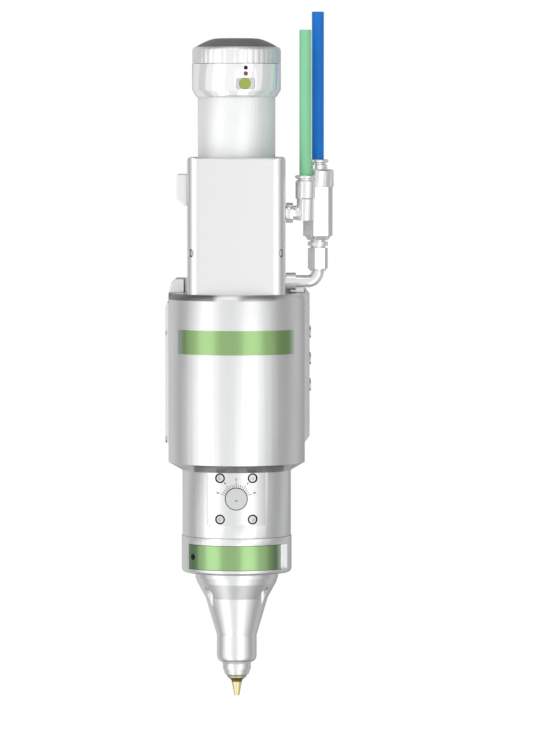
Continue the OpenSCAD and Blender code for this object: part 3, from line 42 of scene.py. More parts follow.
# camera; near and far are in metres
cameraView = {
    "place": (25.6, -3313, 387),
    "aim": (25.6, 0, 218.7),
    "lens": 242.4,
    "sensor": 36,
    "near": 0.05,
    "far": 60,
}


def point(p):
    return Vector(p) * mm


def addCamera(v):
    data = bpy.data.cameras.new("viewCamera")
    data.lens = v["lens"]
    data.sensor_width = v["sensor"]
    data.clip_start = v["near"]
    data.clip_end = v["far"]
    data.dof.use_dof = False
    camera = bpy.data.objects.new("viewCamera", data)
    scene.collection.objects.link(camera)
    camera.location = point(v["place"])
    sight = point(v["aim"]) - point(v["place"])
    camera.rotation_euler = sight.to_track_quat("-Z", "Y").to_euler()
    scene.camera = camera


addCamera(cameraView)


def addMesh(name, verts, faces):
    mesh = bpy.data.meshes.new(name)
    mesh.from_pydata([tuple(v) for v in verts], [], faces)
    mesh.validate()
    mesh.update()
    piece = bpy.data.objects.new(name, mesh)
    scene.collection.objects.link(piece)
    return piece


def shadeSmooth(piece, angle):
    mesh = piece.data
    mesh.polygons.foreach_set("use_smooth", [True] * len(mesh.polygons))
    mesh.set_sharp_from_angle(angle=math.radians(angle))


# parts of node trees
def setInputs(tree, sockets, values):
    # numbers and tuples are set, outputs of other nodes are linked
    for socket, value in zip(sockets, values):
        if value is None:
            continue
        if isinstance(value, (int, float, tuple)):
            socket.default_value = value
        else:
            tree.links.new(value, socket)


def mathNode(tree, how, first, second=None):
    made = tree.nodes.new("ShaderNodeMath")
    made.operation = how
    setInputs(tree, made.inputs, (first, second))
    return made.outputs[0]


def vectorMath(tree, how, first, second=None):
    made = tree.nodes.new("ShaderNodeVectorMath")
    made.operation = how
    setInputs(tree, made.inputs, (first, second))
    return made.outputs["Value" if how == "DOT_PRODUCT" else "Vector"]


def vectorNode(tree, x, y, z):
    made = tree.nodes.new("ShaderNodeCombineXYZ")
    setInputs(tree, made.inputs, (x, y, z))
    return made.outputs[0]


def spread(tree, source, low, high, fromLow=0.3, fromHigh=0.7):
    made = tree.nodes.new("ShaderNodeMapRange")
    made.inputs["From Min"].default_value = fromLow
    made.inputs["From Max"].default_value = fromHigh
    made.inputs["To Min"].default_value = low
    made.inputs["To Max"].default_value = high
    tree.links.new(source, made.inputs["Value"])
    return made.outputs["Result"]


# the mix node's sockets for each kind: first value, second value, result
mixSockets = {"RGBA": (6, 7, 2), "VECTOR": (4, 5, 1)}


def mixNode(tree, kind, factor, first, second):
    made = tree.nodes.new("ShaderNodeMix")
    made.data_type = kind
    a, b, result = mixSockets[kind]
    setInputs(tree, (made.inputs[0], made.inputs[a], made.inputs[b]), (factor, first, second))
    return made.outputs[result]


def mixColour(tree, factor, first, second):
    first, second = ((*c, 1) if isinstance(c, tuple) else c for c in (first, second))
    return mixNode(tree, "RGBA", factor, first, second)


def noise(tree, coords, size, detail, stretch=(1, 1, 1)):
    # size is the pattern's length in mm
    place = tree.nodes.new("ShaderNodeMapping")
    place.inputs["Scale"].default_value = stretch
    made = tree.nodes.new("ShaderNodeTexNoise")
    made.inputs["Scale"].default_value = 1 / (size * mm)
    made.inputs["Detail"].default_value = detail
    tree.links.new(coords.outputs["Object"], place.inputs["Vector"])
    tree.links.new(place.outputs["Vector"], made.inputs["Vector"])
    return made.outputs["Fac"]


def addBump(tree, shader, height, strength, depth, normal=None):
    made = tree.nodes.new("ShaderNodeBump")
    made.inputs["Strength"].default_value = strength
    made.inputs["Distance"].default_value = depth * mm
    tree.links.new(height, made.inputs["Height"])
    if normal is not None:
        tree.links.new(normal, made.inputs["Normal"])
    tree.links.new(made.outputs["Normal"], shader.inputs["Normal"])


# cosines between which a face's own normal gives way to the cylinder's
roundBlend = (0.85, 0.9)


def roundNormal(tree, coords):
    # a cylinder's normal round the beam axis, on the faces that point nearly that way
    turned = tree.nodes.new("ShaderNodeVectorTransform")
    turned.vector_type = "NORMAL"
    turned.convert_from = "OBJECT"
    turned.convert_to = "WORLD"
    level = vectorMath(tree, "MULTIPLY", coords.outputs["Object"], (1, 1, 0))
    tree.links.new(level, turned.inputs["Vector"])
    unit = vectorMath(tree, "NORMALIZE", turned.outputs["Vector"])
    face = tree.nodes.new("ShaderNodeNewGeometry").outputs["Normal"]
    along = vectorMath(tree, "DOT_PRODUCT", unit, face)
    return mixNode(tree, "VECTOR", spread(tree, along, 0, 1, *roundBlend), face, unit)


def splitCoords(tree, coords):
    split = tree.nodes.new("ShaderNodeSeparateXYZ")
    tree.links.new(coords.outputs["Object"], split.inputs["Vector"])
    return split.outputs


def recessMask(tree, coords, rings):
    # 1 inside rings round axes that point forwards;
    # x and z of the centre, inner and outer radius, in mm
    axes = splitCoords(tree, coords)
    total = None
    for x, z, inner, outer in rings:
        across = mathNode(tree, "ADD", axes["X"], -x * mm)
        up = mathNode(tree, "ADD", axes["Z"], -z * mm)
        square = mathNode(tree, "ADD", mathNode(tree, "MULTIPLY", across, across),
                          mathNode(tree, "MULTIPLY", up, up))
        ring = mathNode(tree, "MULTIPLY",
                        mathNode(tree, "GREATER_THAN", square, (inner * mm) ** 2),
                        mathNode(tree, "LESS_THAN", square, (outer * mm) ** 2))
        total = ring if total is None else mathNode(tree, "MAXIMUM", total, ring)
    return total


def patchMask(tree, coords, patch):
    # 1 inside a box with soft sides; low and high corner in mm
    axes = splitCoords(tree, coords)
    total = None
    for axis, low, high, soft in zip("XYZ", patch["low"], patch["high"], patch["soft"]):
        above = spread(tree, axes[axis], 0, 1, (low - soft) * mm, (low + soft) * mm)
        below = spread(tree, axes[axis], 1, 0, (high - soft) * mm, (high + soft) * mm)
        side = mathNode(tree, "MULTIPLY", above, below)
        total = side if total is None else mathNode(tree, "MULTIPLY", total, side)
    return total


def endMask(tree, coords, start, full):
    # grows from 0 to 1 between two angles either side of the front, in degrees
    axes = splitCoords(tree, coords)
    slope = mathNode(tree, "ABSOLUTE", mathNode(tree, "DIVIDE", axes["X"], axes["Y"]))
    return spread(tree, slope, 0, 1, math.tan(math.radians(start)), math.tan(math.radians(full)))


# finishes
grainStretch = {
    "turned": (1, 1, 20),      # rings round the beam axis
    "upright": (16, 16, 1),    # lines along Z
    "blasted": (1, 1, 1),
}
# what a look leaves unsaid; lengths of patterns and depths of bumps are in mm
metalBase = {
    "cloud": 34, "cloudDetail": 4, "fine": 0.5, "fineDetail": 2, "fineShare": 0.5,
    "grainSize": 20, "grainDetail": 3, "grainRough": 0.012, "streak": 0.25,
    "bumpDepth": 0.03, "metal": 1.0, "shine": 0.5,
}
plasticBase = {
    "cloud": 18, "cloudDetail": 3, "fine": 0.6, "fineDetail": 2,
    "bump": 0.1, "bumpDepth": 0.02, "shine": 0.4, "under": 0.0, "underDepth": 2,
}


def newFinish(name):
    mat = bpy.data.materials.new(name)
    mat.use_nodes = True
    tree = mat.node_tree
    shader = tree.nodes["Principled BSDF"]
    coords = tree.nodes.new("ShaderNodeTexCoord")
    return mat, tree, shader, coords


def metalFinish(name, given):
    look = {**metalBase, **given}
    mat, tree, shader, coords = newFinish(name)
    cloud = noise(tree, coords, look["cloud"], look["cloudDetail"])
    fine = noise(tree, coords, look["fine"], look["fineDetail"])
    grain = noise(tree, coords, look["grainSize"], look["grainDetail"], grainStretch[look["grain"]])
    tint = mixColour(tree, spread(tree, cloud, 0, 1), look["colour"], look["worn"])
    tint = mixColour(tree, spread(tree, grain, 0, look["streak"]), tint, look["deep"])
    # painted shade and painted highlights in rings, boxes and towards the ends; rings also draw the
    # dial's dash mark
    if "rings" in look:
        tint = mixColour(tree, recessMask(tree, coords, look["rings"]), tint, look["ringShadeAndMark"])
    for patch in look.get("paintedLightPatches", []):
        tint = mixColour(tree, patchMask(tree, coords, patch), tint, patch["colour"])
    if "ends" in look:
        tint = mixColour(tree, endMask(tree, coords, *look["ends"]), tint, look["paintedEndHighlight"])
    tree.links.new(tint, shader.inputs["Base Color"])
    rough = mathNode(tree, "ADD", spread(tree, cloud, *look["rough"]),
                     spread(tree, grain, -look["grainRough"], look["grainRough"]))
    tree.links.new(rough, shader.inputs["Roughness"])
    height = mathNode(tree, "ADD", grain, mathNode(tree, "MULTIPLY", fine, look["fineShare"]))
    normal = roundNormal(tree, coords) if look.get("round") else None
    addBump(tree, shader, height, look["bump"], look["bumpDepth"], normal)
    shader.inputs["Metallic"].default_value = look["metal"]
    shader.inputs["Specular IOR Level"].default_value = look["shine"]
    return mat


def plasticFinish(name, given):
    look = {**plasticBase, **given}
    mat, tree, shader, coords = newFinish(name)
    cloud = noise(tree, coords, look["cloud"], look["cloudDetail"])
    fine = noise(tree, coords, look["fine"], look["fineDetail"])
    tint = mixColour(tree, spread(tree, cloud, 0, 1), look["colour"], look["worn"])
    tree.links.new(tint, shader.inputs["Base Color"])
    tree.links.new(spread(tree, fine, *look["rough"]), shader.inputs["Roughness"])
    addBump(tree, shader, fine, look["bump"], look["bumpDepth"])
    shader.inputs["Specular IOR Level"].default_value = look["shine"]
    shader.inputs["Subsurface Weight"].default_value = look["under"]
    shader.inputs["Subsurface Scale"].default_value = look["underDepth"] * mm
    return mat


def glassFinish(name, look):
    mat, tree, shader, coords = newFinish(name)
    haze = noise(tree, coords, look["haze"], look["hazeDetail"])
    tint = mixColour(tree, spread(tree, haze, 0, 1), look["colour"], look["worn"])
    tree.links.new(tint, shader.inputs["Base Color"])
    tree.links.new(spread(tree, haze, *look["rough"]), shader.inputs["Roughness"])
    shader.inputs["Transmission Weight"].default_value = 1.0
    shader.inputs["IOR"].default_value = look["bend"]
    shader.inputs["Coat Weight"].default_value = look["coat"]
    return mat


satin = {"grain": "turned", "bump": 0.02, "streak": 0.06}
anodised = {"grain": "turned", "bump": 0.015, "streak": 0.08, "round": True}
dialAxis = (0, 134.4)    # x and z in mm
scaleScrewAxes = [(x, z) for x in (-10.8, 10.8) for z in (120.7, 148.1)]

metalLooks = {
    "drumSatin": {
        **satin, "rough": (0.35, 0.39),
        "colour": (0.87, 0.875, 0.88), "worn": (0.855, 0.86, 0.868), "deep": (0.81, 0.815, 0.825),
        "paintedLightPatches": [
            # painted shade on the bevel at the top, darker on the left than on the right
            {"low": (-47, -47, 265.4), "high": (-14, 1, 270), "soft": (2, 0.5, 0.2),
             "colour": (0.27, 0.27, 0.28)},
            {"low": (2, -47, 265.4), "high": (26, 1, 270), "soft": (2, 0.5, 0.2),
             "colour": (0.58, 0.58, 0.59)},
            # painted shade on the small face beside the drum's right edge
            {"low": (42.6, -0.12, 264), "high": (45.4, 0.12, 270), "soft": (0.05, 0.03, 0.1),
             "colour": (0.42, 0.42, 0.43)},
            # painted shade on the front of the slope at the foot
            {"low": (-28, -47, 151), "high": (31.5, 1, 156.7), "soft": (1, 0.5, 0.15),
             "colour": (0.30, 0.30, 0.31)},
        ],
    },
    "turnedSatin": {
        **satin, "rough": (0.34, 0.38),
        "colour": (0.88, 0.885, 0.89), "worn": (0.86, 0.865, 0.873), "deep": (0.80, 0.805, 0.815),
    },
    "tubeSatin": {
        **satin, "rough": (0.42, 0.46), "metal": 0.4,
        "colour": (0.89, 0.895, 0.895), "worn": (0.875, 0.88, 0.885), "deep": (0.84, 0.845, 0.85),
    },
    "ringSatin": {
        **satin, "rough": (0.38, 0.42), "metal": 0.72,
        "colour": (0.89, 0.893, 0.895), "worn": (0.875, 0.878, 0.883), "deep": (0.83, 0.833, 0.84),
    },
    "collarBright": {
        **satin, "rough": (0.09, 0.12), "bump": 0.01, "metal": 0.5,
        "colour": (0.96, 0.96, 0.963), "worn": (0.94, 0.943, 0.946), "deep": (0.88, 0.883, 0.888),
    },
    "plateSatin": {
        **satin, "rough": (0.34, 0.39), "grain": "upright",
        "colour": (0.93, 0.93, 0.933), "worn": (0.91, 0.912, 0.916), "deep": (0.86, 0.862, 0.868),
        # painted shade on the slanted end of the left cover
        "paintedLightPatches": [{"low": (-49, 0, 262.4), "high": (-44, 50, 266), "soft": (0.1, 0.1, 0.1),
                     "colour": (0.16, 0.16, 0.17)}],
    },
    # darker copy of the pale cover finish: painted shade on the right cover
    "coverPaintedShade": {
        **satin, "rough": (0.36, 0.42), "grain": "upright",
        "colour": (0.50, 0.503, 0.51), "worn": (0.485, 0.488, 0.495), "deep": (0.44, 0.443, 0.45),
    },
    "panelBlasted": {
        **satin, "rough": (0.34, 0.38), "grain": "blasted", "grainSize": 2.2, "bump": 0.012,
        "colour": (0.905, 0.905, 0.905), "worn": (0.89, 0.89, 0.893), "deep": (0.85, 0.85, 0.855),
    },
    "scaleSatin": {
        **satin, "rough": (0.34, 0.38), "round": True,
        "colour": (0.84, 0.845, 0.845), "worn": (0.82, 0.825, 0.828), "deep": (0.77, 0.775, 0.78),
        # painted shade in the dial's recess and in the screws' counterbores
        "ringShadeAndMark": (0.06, 0.06, 0.065),
        "rings": [(*dialAxis, 0, 7.6)] + [(*axis, 0, 3.3) for axis in scaleScrewAxes],
    },
    "brightNickel": {
        "rough": (0.15, 0.20), "grain": "blasted", "grainSize": 5, "cloud": 9, "bump": 0.03,
        "metal": 0.72,
        "colour": (0.94, 0.94, 0.938), "worn": (0.92, 0.92, 0.92), "deep": (0.87, 0.87, 0.875),
    },
    "groundSteel": {
        "rough": (0.22, 0.32), "grain": "turned", "grainSize": 4, "cloud": 8, "bump": 0.1,
        "colour": (0.68, 0.685, 0.695), "worn": (0.62, 0.625, 0.64), "deep": (0.5, 0.505, 0.52),
    },
    "dialSteel": {
        "rough": (0.30, 0.36), "grain": "blasted", "grainSize": 0.7, "cloud": 7, "bump": 0.06,
        "colour": (0.74, 0.75, 0.75), "worn": (0.71, 0.72, 0.72), "deep": (0.64, 0.645, 0.65),
        # short dash under the middle of the dial
        "ringShadeAndMark": (0.22, 0.22, 0.22), "rings": [(x, 133.2, 0, 0.4) for x in (-0.6, 0, 0.6)],
    },
    "screwSteel": {
        "rough": (0.25, 0.35), "grain": "blasted", "grainSize": 1.2, "cloud": 5, "bump": 0.08,
        "colour": (0.66, 0.665, 0.67), "worn": (0.60, 0.605, 0.615), "deep": (0.44, 0.445, 0.455),
        # painted shade round the rim of each scale screw
        "ringShadeAndMark": (0.05, 0.05, 0.055), "rings": [(*axis, 2.35, 3.4) for axis in scaleScrewAxes],
    },
    "turnedBrass": {
        "rough": (0.28, 0.34), "grain": "turned", "grainSize": 6, "cloud": 6, "bump": 0.02,
        "metal": 0.7,
        "colour": (0.84, 0.785, 0.43), "worn": (0.81, 0.745, 0.40), "deep": (0.74, 0.66, 0.33),
        "paintedLightPatches": [
            # painted shade in the hollow above the tip and on the rim, and a painted shadow line
            # under the holder
            {"low": (-9, -9, 9.2), "high": (9, 9, 12.1), "soft": (0.1, 0.1, 0.15),
             "colour": (0.19, 0.145, 0.05)},
            {"low": (-9, -9, 12.1), "high": (9, 9, 13.8), "soft": (0.1, 0.1, 0.1),
             "colour": (0.60, 0.55, 0.32)},
            {"low": (-9, -9, 13.2), "high": (9, 9, 13.8), "soft": (0.1, 0.1, 0.1),
             "colour": (0.30, 0.28, 0.18)},
        ],
    },
    "greenPlate": {
        **anodised, "rough": (0.25, 0.29),
        "colour": (0.345, 0.54, 0.24), "worn": (0.325, 0.515, 0.225), "deep": (0.29, 0.46, 0.2),
        # painted highlight towards both ends of the curved plate
        "ends": (48.5, 53.5), "paintedEndHighlight": (0.58, 0.70, 0.56),
    },
    "greenAnodised": {
        **anodised, "rough": (0.24, 0.28),
        "colour": (0.355, 0.56, 0.255), "worn": (0.33, 0.53, 0.24), "deep": (0.28, 0.465, 0.195),
        "paintedLightPatches": [
            # painted shade at the left end; painted shade and then a painted highlight at the right
            # end
            {"low": (-33, -50, 80), "high": (-25.4, 0, 115), "soft": (1, 0.5, 0.5),
             "colour": (0.25, 0.39, 0.22)},
            {"low": (24.6, -50, 80), "high": (27.4, 0, 115), "soft": (1, 0.5, 0.5),
             "colour": (0.26, 0.40, 0.22)},
            {"low": (27.6, -50, 80), "high": (35, 0, 115), "soft": (0.8, 0.5, 0.5),
             "colour": (0.60, 0.72, 0.56)},
        ],
    },
    "pocketSteel": {
        "rough": (0.32, 0.42), "grain": "blasted", "grainSize": 1, "cloud": 6, "bump": 0.08,
        "colour": (0.60, 0.605, 0.61), "worn": (0.55, 0.555, 0.56), "deep": (0.44, 0.445, 0.45),
    },
    "blackMetal": {
        "rough": (0.42, 0.55), "grain": "blasted", "grainSize": 0.8, "metal": 0.6, "bump": 0.15,
        "colour": (0.03, 0.03, 0.033), "worn": (0.045, 0.045, 0.048), "deep": (0.02, 0.02, 0.022),
    },
}
plasticLooks = {
    "plugPlastic": {"colour": (0.150, 0.138, 0.138), "worn": (0.180, 0.166, 0.166),
                    "rough": (0.30, 0.42)},
    "hoseGreen": {"colour": (0.235, 0.60, 0.335), "worn": (0.25, 0.62, 0.355),
                  "rough": (0.34, 0.42), "shine": 0.25, "under": 0.2},
    "hoseBlue": {"colour": (0.012, 0.175, 0.60), "worn": (0.016, 0.19, 0.63),
                 "rough": (0.34, 0.42), "shine": 0.12, "under": 0.1},
    "buttonGreen": {"colour": (0.33, 0.43, 0.07), "worn": (0.29, 0.38, 0.06),
                    "rough": (0.3, 0.4), "cloud": 4},
    "dotRed": {"colour": (0.21, 0.04, 0.05), "worn": (0.26, 0.06, 0.07),
               "rough": (0.3, 0.42), "cloud": 2},
    "sealRubber": {"colour": (0.018, 0.018, 0.019), "worn": (0.03, 0.03, 0.03),
                   "rough": (0.6, 0.75)},
    "ceramicWhite": {"colour": (0.66, 0.66, 0.655), "worn": (0.60, 0.60, 0.595),
                     "rough": (0.25, 0.4), "cloud": 6},
    "boardGreen": {"colour": (0.03, 0.16, 0.07), "worn": (0.04, 0.2, 0.09),
                   "rough": (0.3, 0.45), "cloud": 3},
    "inkBlack": {"colour": (0.02, 0.021, 0.022), "worn": (0.05, 0.051, 0.053),
                 "rough": (0.5, 0.65), "cloud": 1},
}
glassLook = {"colour": (0.90, 0.96, 0.97), "worn": (0.86, 0.93, 0.96), "rough": (0.0, 0.03),
             "haze": 6, "hazeDetail": 3, "bend": 1.46, "coat": 0.4}

finishes = {name: metalFinish(name, look) for name, look in metalLooks.items()}
finishes.update({name: plasticFinish(name, look) for name, look in plasticLooks.items()})
finishes["opticGlass"] = glassFinish("opticGlass", glassLook)
print("finishes made:", len(finishes))

nodeFinish = {
    "drumSatin": ["main_housing"],
    "turnedSatin": ["cone_body", "window_housing", "neck_barrel", "nozzle_holder"],
    "tubeSatin": ["collimator_tube"],
    "ringSatin": ["lock_ring"],
    "collarBright": ["receiver_body"],
    "plateSatin": ["shoulder_cap", "left_cover", "upper_drawer", "focus_carriage"],
    "coverPaintedShade": ["right_cover"],
    "panelBlasted": ["collimation_housing"],
    "scaleSatin": ["scale_plate"],
    "brightNickel": ["green_elbow", "blue_elbow", "union_nut", "hex_body", "end_ring",
                     "green_collet", "blue_collet", "centring_screw_left", "centring_screw_right"],
    "groundSteel": ["dial_pinion", "focus_rack", "guide_rods", "lead_screw", "screw_bearing",
                    "bay_plate", "lens_cell", "connector", "right_cover_screws",
                    "left_cover_screws"],
    "dialSteel": ["focus_dial"],
    "screwSteel": ["scale_screws", "cone_screws"],
    "turnedBrass": ["nozzle"],
    "greenPlate": ["curved_plate"],
    "greenAnodised": ["lower_drawer"],
    "blackMetal": ["focus_retainer", "lens_retainer", "focus_motor", "stop_screw",
                   "drawer_lock_screw"],
    "plugPlastic": ["dust_plug"],
    "hoseGreen": ["green_hose"],
    "hoseBlue": ["blue_hose"],
    "buttonGreen": ["release_button"],
    "dotRed": ["index_dot"],
    "sealRubber": ["lower_seal", "upper_seal"],
    "ceramicWhite": ["insulator"],
    "boardGreen": ["drive_board"],
    "opticGlass": ["lower_window", "upper_window", "focus_lens", "collimator_lens"],
}
for finish, names in nodeFinish.items():
    for name in names:
        nodes[name].data.materials.clear()
        nodes[name].data.materials.append(finishes[finish])
print("finishes on the frame")

# hoses, each along the route of its solid
hoseRoutes = {
    "greenHose": {
        "node": "green_hose", "body": "green_fitting", "finish": "hoseGreen", "slot": "hose_green",
        "x": 45.8, "y": -10, "foot": 336.5, "exit": 348.1,
        "rises": [0, 8, 16, 24, 32, 40, 48, 56, 64, 72, 80, 88, 96, 102, 108],
    },
    "blueHose": {
        "node": "blue_hose", "body": "blue_fitting", "finish": "hoseBlue", "slot": "hose_blue",
        "x": 54.2, "y": 7, "foot": 345.8, "exit": 358.5,
        "rises": [0, 8, 16, 24, 32, 40, 48, 56, 64, 72, 80, 88, 96, 104, 111],
    },
}
hoseSize = {"diameter": 8, "bore": 5, "sides": 40, "edge": 0.25, "smooth": 35}


def hosePiece(name, route, size):
    sides = size["sides"]
    outer, inner, edge = size["diameter"] / 2, size["bore"] / 2, size["edge"]
    x, y, foot = route["x"], route["y"], route["foot"]
    low, *between, high = route["rises"]
    wall = [(inner, low + edge), (inner + edge, low), (outer - edge, low), (outer, low + edge)]
    wall += [(outer, rise) for rise in between]
    wall += [(outer, high - edge), (outer - edge, high), (inner + edge, high), (inner, high - edge)]
    wall += [(inner, rise) for rise in reversed(between)]
    verts = []
    for r, rise in wall:
        for i in range(sides):
            a = 2 * math.pi * i / sides
            verts.append(point((x + r * math.cos(a), y + r * math.sin(a), foot + rise)))
    faces = []
    for k in range(len(wall)):
        a, b = k * sides, (k + 1) % len(wall) * sides
        for i in range(sides):
            j = (i + 1) % sides
            faces.append((a + i, a + j, b + j, b + i))
    piece = addMesh(name, verts, faces)
    shadeSmooth(piece, size["smooth"])
    piece.data.materials.append(finishes[route["finish"]])
    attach(piece, route["body"])
    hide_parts(route["node"])


for name, route in hoseRoutes.items():
    hosePiece(name, route, hoseSize)
print("hoses made")


# scale marks, dial grips and threads, repeated by node trees
def newTree(name, sizes):
    tree = bpy.data.node_groups.new(name, "GeometryNodeTree")
    tree.is_modifier = True
    for way in ("INPUT", "OUTPUT"):
        tree.interface.new_socket(name="Geometry", in_out=way, socket_type="NodeSocketGeometry")
    kinds = {int: "NodeSocketInt", float: "NodeSocketFloat"}
    for key, value in sizes.items():
        tree.interface.new_socket(name=key, in_out="INPUT", socket_type=kinds[type(value)])
    tree.interface.new_socket(name="Finish", in_out="INPUT", socket_type="NodeSocketMaterial")
    return tree, tree.nodes.new("NodeGroupInput"), tree.nodes.new("NodeGroupOutput")


def pointRow(tree, count):
    # points to place, and each one's number
    dots = tree.nodes.new("GeometryNodePoints")
    tree.links.new(count, dots.inputs["Count"])
    return dots.outputs[0], tree.nodes.new("GeometryNodeInputIndex").outputs["Index"]


def placeOnPoints(tree, dots, spots, shape):
    moved = tree.nodes.new("GeometryNodeSetPosition")
    tree.links.new(dots, moved.inputs["Geometry"])
    tree.links.new(spots, moved.inputs["Position"])
    put = tree.nodes.new("GeometryNodeInstanceOnPoints")
    tree.links.new(moved.outputs["Geometry"], put.inputs["Points"])
    tree.links.new(shape, put.inputs["Instance"])
    return put


def endTree(tree, given, end, instances):
    real = tree.nodes.new("GeometryNodeRealizeInstances")
    paint = tree.nodes.new("GeometryNodeSetMaterial")
    tree.links.new(instances, real.inputs["Geometry"])
    tree.links.new(real.outputs["Geometry"], paint.inputs["Geometry"])
    tree.links.new(given.outputs["Finish"], paint.inputs["Material"])
    tree.links.new(paint.outputs["Geometry"], end.inputs["Geometry"])


def bakedMesh(source):
    # the mesh that an object shows; the object itself goes
    ready = source.evaluated_get(bpy.context.evaluated_depsgraph_get())
    mesh = bpy.data.meshes.new_from_object(ready)
    bpy.data.objects.remove(source)
    return mesh


def addPiece(name, mesh):
    piece = bpy.data.objects.new(name, mesh)
    scene.collection.objects.link(piece)
    return piece


def grown(name, tree, sizes, finish, centre):
    seed = addMesh(name + "Seed", [(0, 0, 0)], [])
    grow = seed.modifiers.new("grow", "NODES")
    grow.node_group = tree
    given = {**sizes, "Finish": finishes[finish]}
    for item in tree.interface.items_tree:
        if item.in_out == "INPUT" and item.name in given:
            grow[item.identifier] = given[item.name]
    mesh = bakedMesh(seed)
    mesh.name = name
    mesh.transform(Matrix.Translation(point(centre)))
    return addPiece(name, mesh)


def wrapRound(mesh):
    # bends what lies in front of the beam axis round that axis
    for v in mesh.vertices:
        v.co.y = -math.sqrt(v.co.y ** 2 - v.co.x ** 2)
    mesh.update()


def fanTree(name, sizes):
    # bars round a centre in the XZ plane, every few of them longer
    tree, given, end = newTree(name, sizes)
    size = given.outputs
    dots, index = pointRow(tree, size["Marks"])
    middle = mathNode(tree, "DIVIDE", mathNode(tree, "SUBTRACT", size["Marks"], 1), 2)
    step = mathNode(tree, "SUBTRACT", index, middle)
    angle = mathNode(tree, "MULTIPLY", step, size["Step"])
    rest = mathNode(tree, "MODULO", mathNode(tree, "ABSOLUTE", step), size["Every"])
    major = mathNode(tree, "LESS_THAN", rest, 0.5)
    extra = mathNode(tree, "SUBTRACT", size["Long"], size["Short"])
    length = mathNode(tree, "ADD", size["Short"], mathNode(tree, "MULTIPLY", major, extra))
    reach = mathNode(tree, "ADD", size["Inner"], mathNode(tree, "DIVIDE", length, 2))
    spots = vectorNode(tree, mathNode(tree, "MULTIPLY", mathNode(tree, "SINE", angle), reach), 0.0,
                       mathNode(tree, "MULTIPLY", mathNode(tree, "COSINE", angle), reach))
    bar = tree.nodes.new("GeometryNodeMeshCube")
    tree.links.new(vectorNode(tree, size["Width"], size["Depth"], 1.0), bar.inputs["Size"])
    put = placeOnPoints(tree, dots, spots, bar.outputs["Mesh"])
    tree.links.new(vectorNode(tree, 0.0, angle, 0.0), put.inputs["Rotation"])
    tree.links.new(vectorNode(tree, 1.0, 1.0, length), put.inputs["Scale"])
    endTree(tree, given, end, put.outputs["Instances"])
    return tree


ridgeSides = {"loop": 32, "section": 4}


def ringTree(name, sizes):
    # round ridges in a row along Y, as a thread shows
    tree, given, end = newTree(name, sizes)
    size = given.outputs
    dots, index = pointRow(tree, size["Ridges"])
    spots = vectorNode(tree, 0.0, mathNode(tree, "MULTIPLY", index, size["Pitch"]), 0.0)
    loop = tree.nodes.new("GeometryNodeCurvePrimitiveCircle")
    loop.inputs["Resolution"].default_value = ridgeSides["loop"]
    tree.links.new(size["Radius"], loop.inputs["Radius"])
    section = tree.nodes.new("GeometryNodeCurvePrimitiveCircle")
    section.inputs["Resolution"].default_value = ridgeSides["section"]
    tree.links.new(size["Crest"], section.inputs["Radius"])
    swept = tree.nodes.new("GeometryNodeCurveToMesh")
    tree.links.new(loop.outputs["Curve"], swept.inputs["Curve"])
    tree.links.new(section.outputs["Curve"], swept.inputs["Profile Curve"])
    put = placeOnPoints(tree, dots, spots, swept.outputs["Mesh"])
    put.inputs["Rotation"].default_value = (math.pi / 2, 0, 0)
    endTree(tree, given, end, put.outputs["Instances"])
    return tree


scaleMarks = {
    "centre": (dialAxis[0], -35.74, dialAxis[1]),
    "sizes": {"Marks": 17, "Step": math.radians(9), "Every": 4, "Inner": 7.85 * mm,
              "Short": 1.9 * mm, "Long": 3.1 * mm, "Width": 0.32 * mm, "Depth": 0.2 * mm},
}
marks = grown("scaleMarks", fanTree("scaleMarkTree", scaleMarks["sizes"]), scaleMarks["sizes"],
              "inkBlack", scaleMarks["centre"])
wrapRound(marks.data)
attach(marks, "head")

dialGrip = {
    "centre": (dialAxis[0], -35.65, dialAxis[1]),
    "sizes": {"Marks": 48, "Step": math.radians(7.5), "Every": 1, "Inner": 6.9 * mm,
              "Short": 0.2 * mm, "Long": 0.2 * mm, "Width": 0.3 * mm, "Depth": 1 * mm},
}
grip = grown("dialGrip", fanTree("dialGripTree", dialGrip["sizes"]), dialGrip["sizes"],
             "dialSteel", dialGrip["centre"])
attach(grip, "dial")

threadRows = {
    "gasThread": {
        "places": [(0, 26, 88.3)],
        "sizes": {"Ridges": 11, "Pitch": 0.9 * mm, "Radius": 4.25 * mm, "Crest": 0.32 * mm},
    },
    "mountThread": {
        "places": [(x, 40.5, z) for x in (-30, 30) for z in (183.7, 253.7)],
        "sizes": {"Ridges": 11, "Pitch": 0.8 * mm, "Radius": 2.46 * mm, "Crest": 0.28 * mm},
    },
}
for name, row in threadRows.items():
    tree = ringTree(name + "Tree", row["sizes"])
    for number, place in enumerate(row["places"]):
        ridge = grown(name + str(number), tree, row["sizes"], "groundSteel", place)
        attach(ridge, "head")

# numbers round the scale
scaleNumbers = {
    "values": (-8, -4, 0, 4, 8), "step": 9, "reach": 12.7, "height": 2.7, "thick": 0.05,
    "curveSteps": 4, "centre": (dialAxis[0], -35.94, dialAxis[1]),
}


def numberPiece(value, look):
    text = bpy.data.curves.new("number", "FONT")
    text.body = str(abs(value))
    text.size = look["height"] * mm
    text.extrude = look["thick"] * mm
    text.align_x = "CENTER"
    text.align_y = "CENTER"
    text.resolution_u = look["curveSteps"]
    mesh = bakedMesh(addPiece("number", text))
    turn = Matrix.Rotation(math.radians(value * look["step"]), 4, "Y")
    out = Matrix.Translation((0, 0, look["reach"] * mm))
    upright = Matrix.Rotation(math.radians(90), 4, "X")
    mesh.transform(Matrix.Translation(point(look["centre"])) @ turn @ out @ upright)
    wrapRound(mesh)
    mesh.materials.clear()
    mesh.materials.append(finishes["inkBlack"])
    name = "scaleNumber" + ("Minus" if value < 0 else "Plus") + str(abs(value))
    piece = addPiece(name, mesh)
    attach(piece, "head")


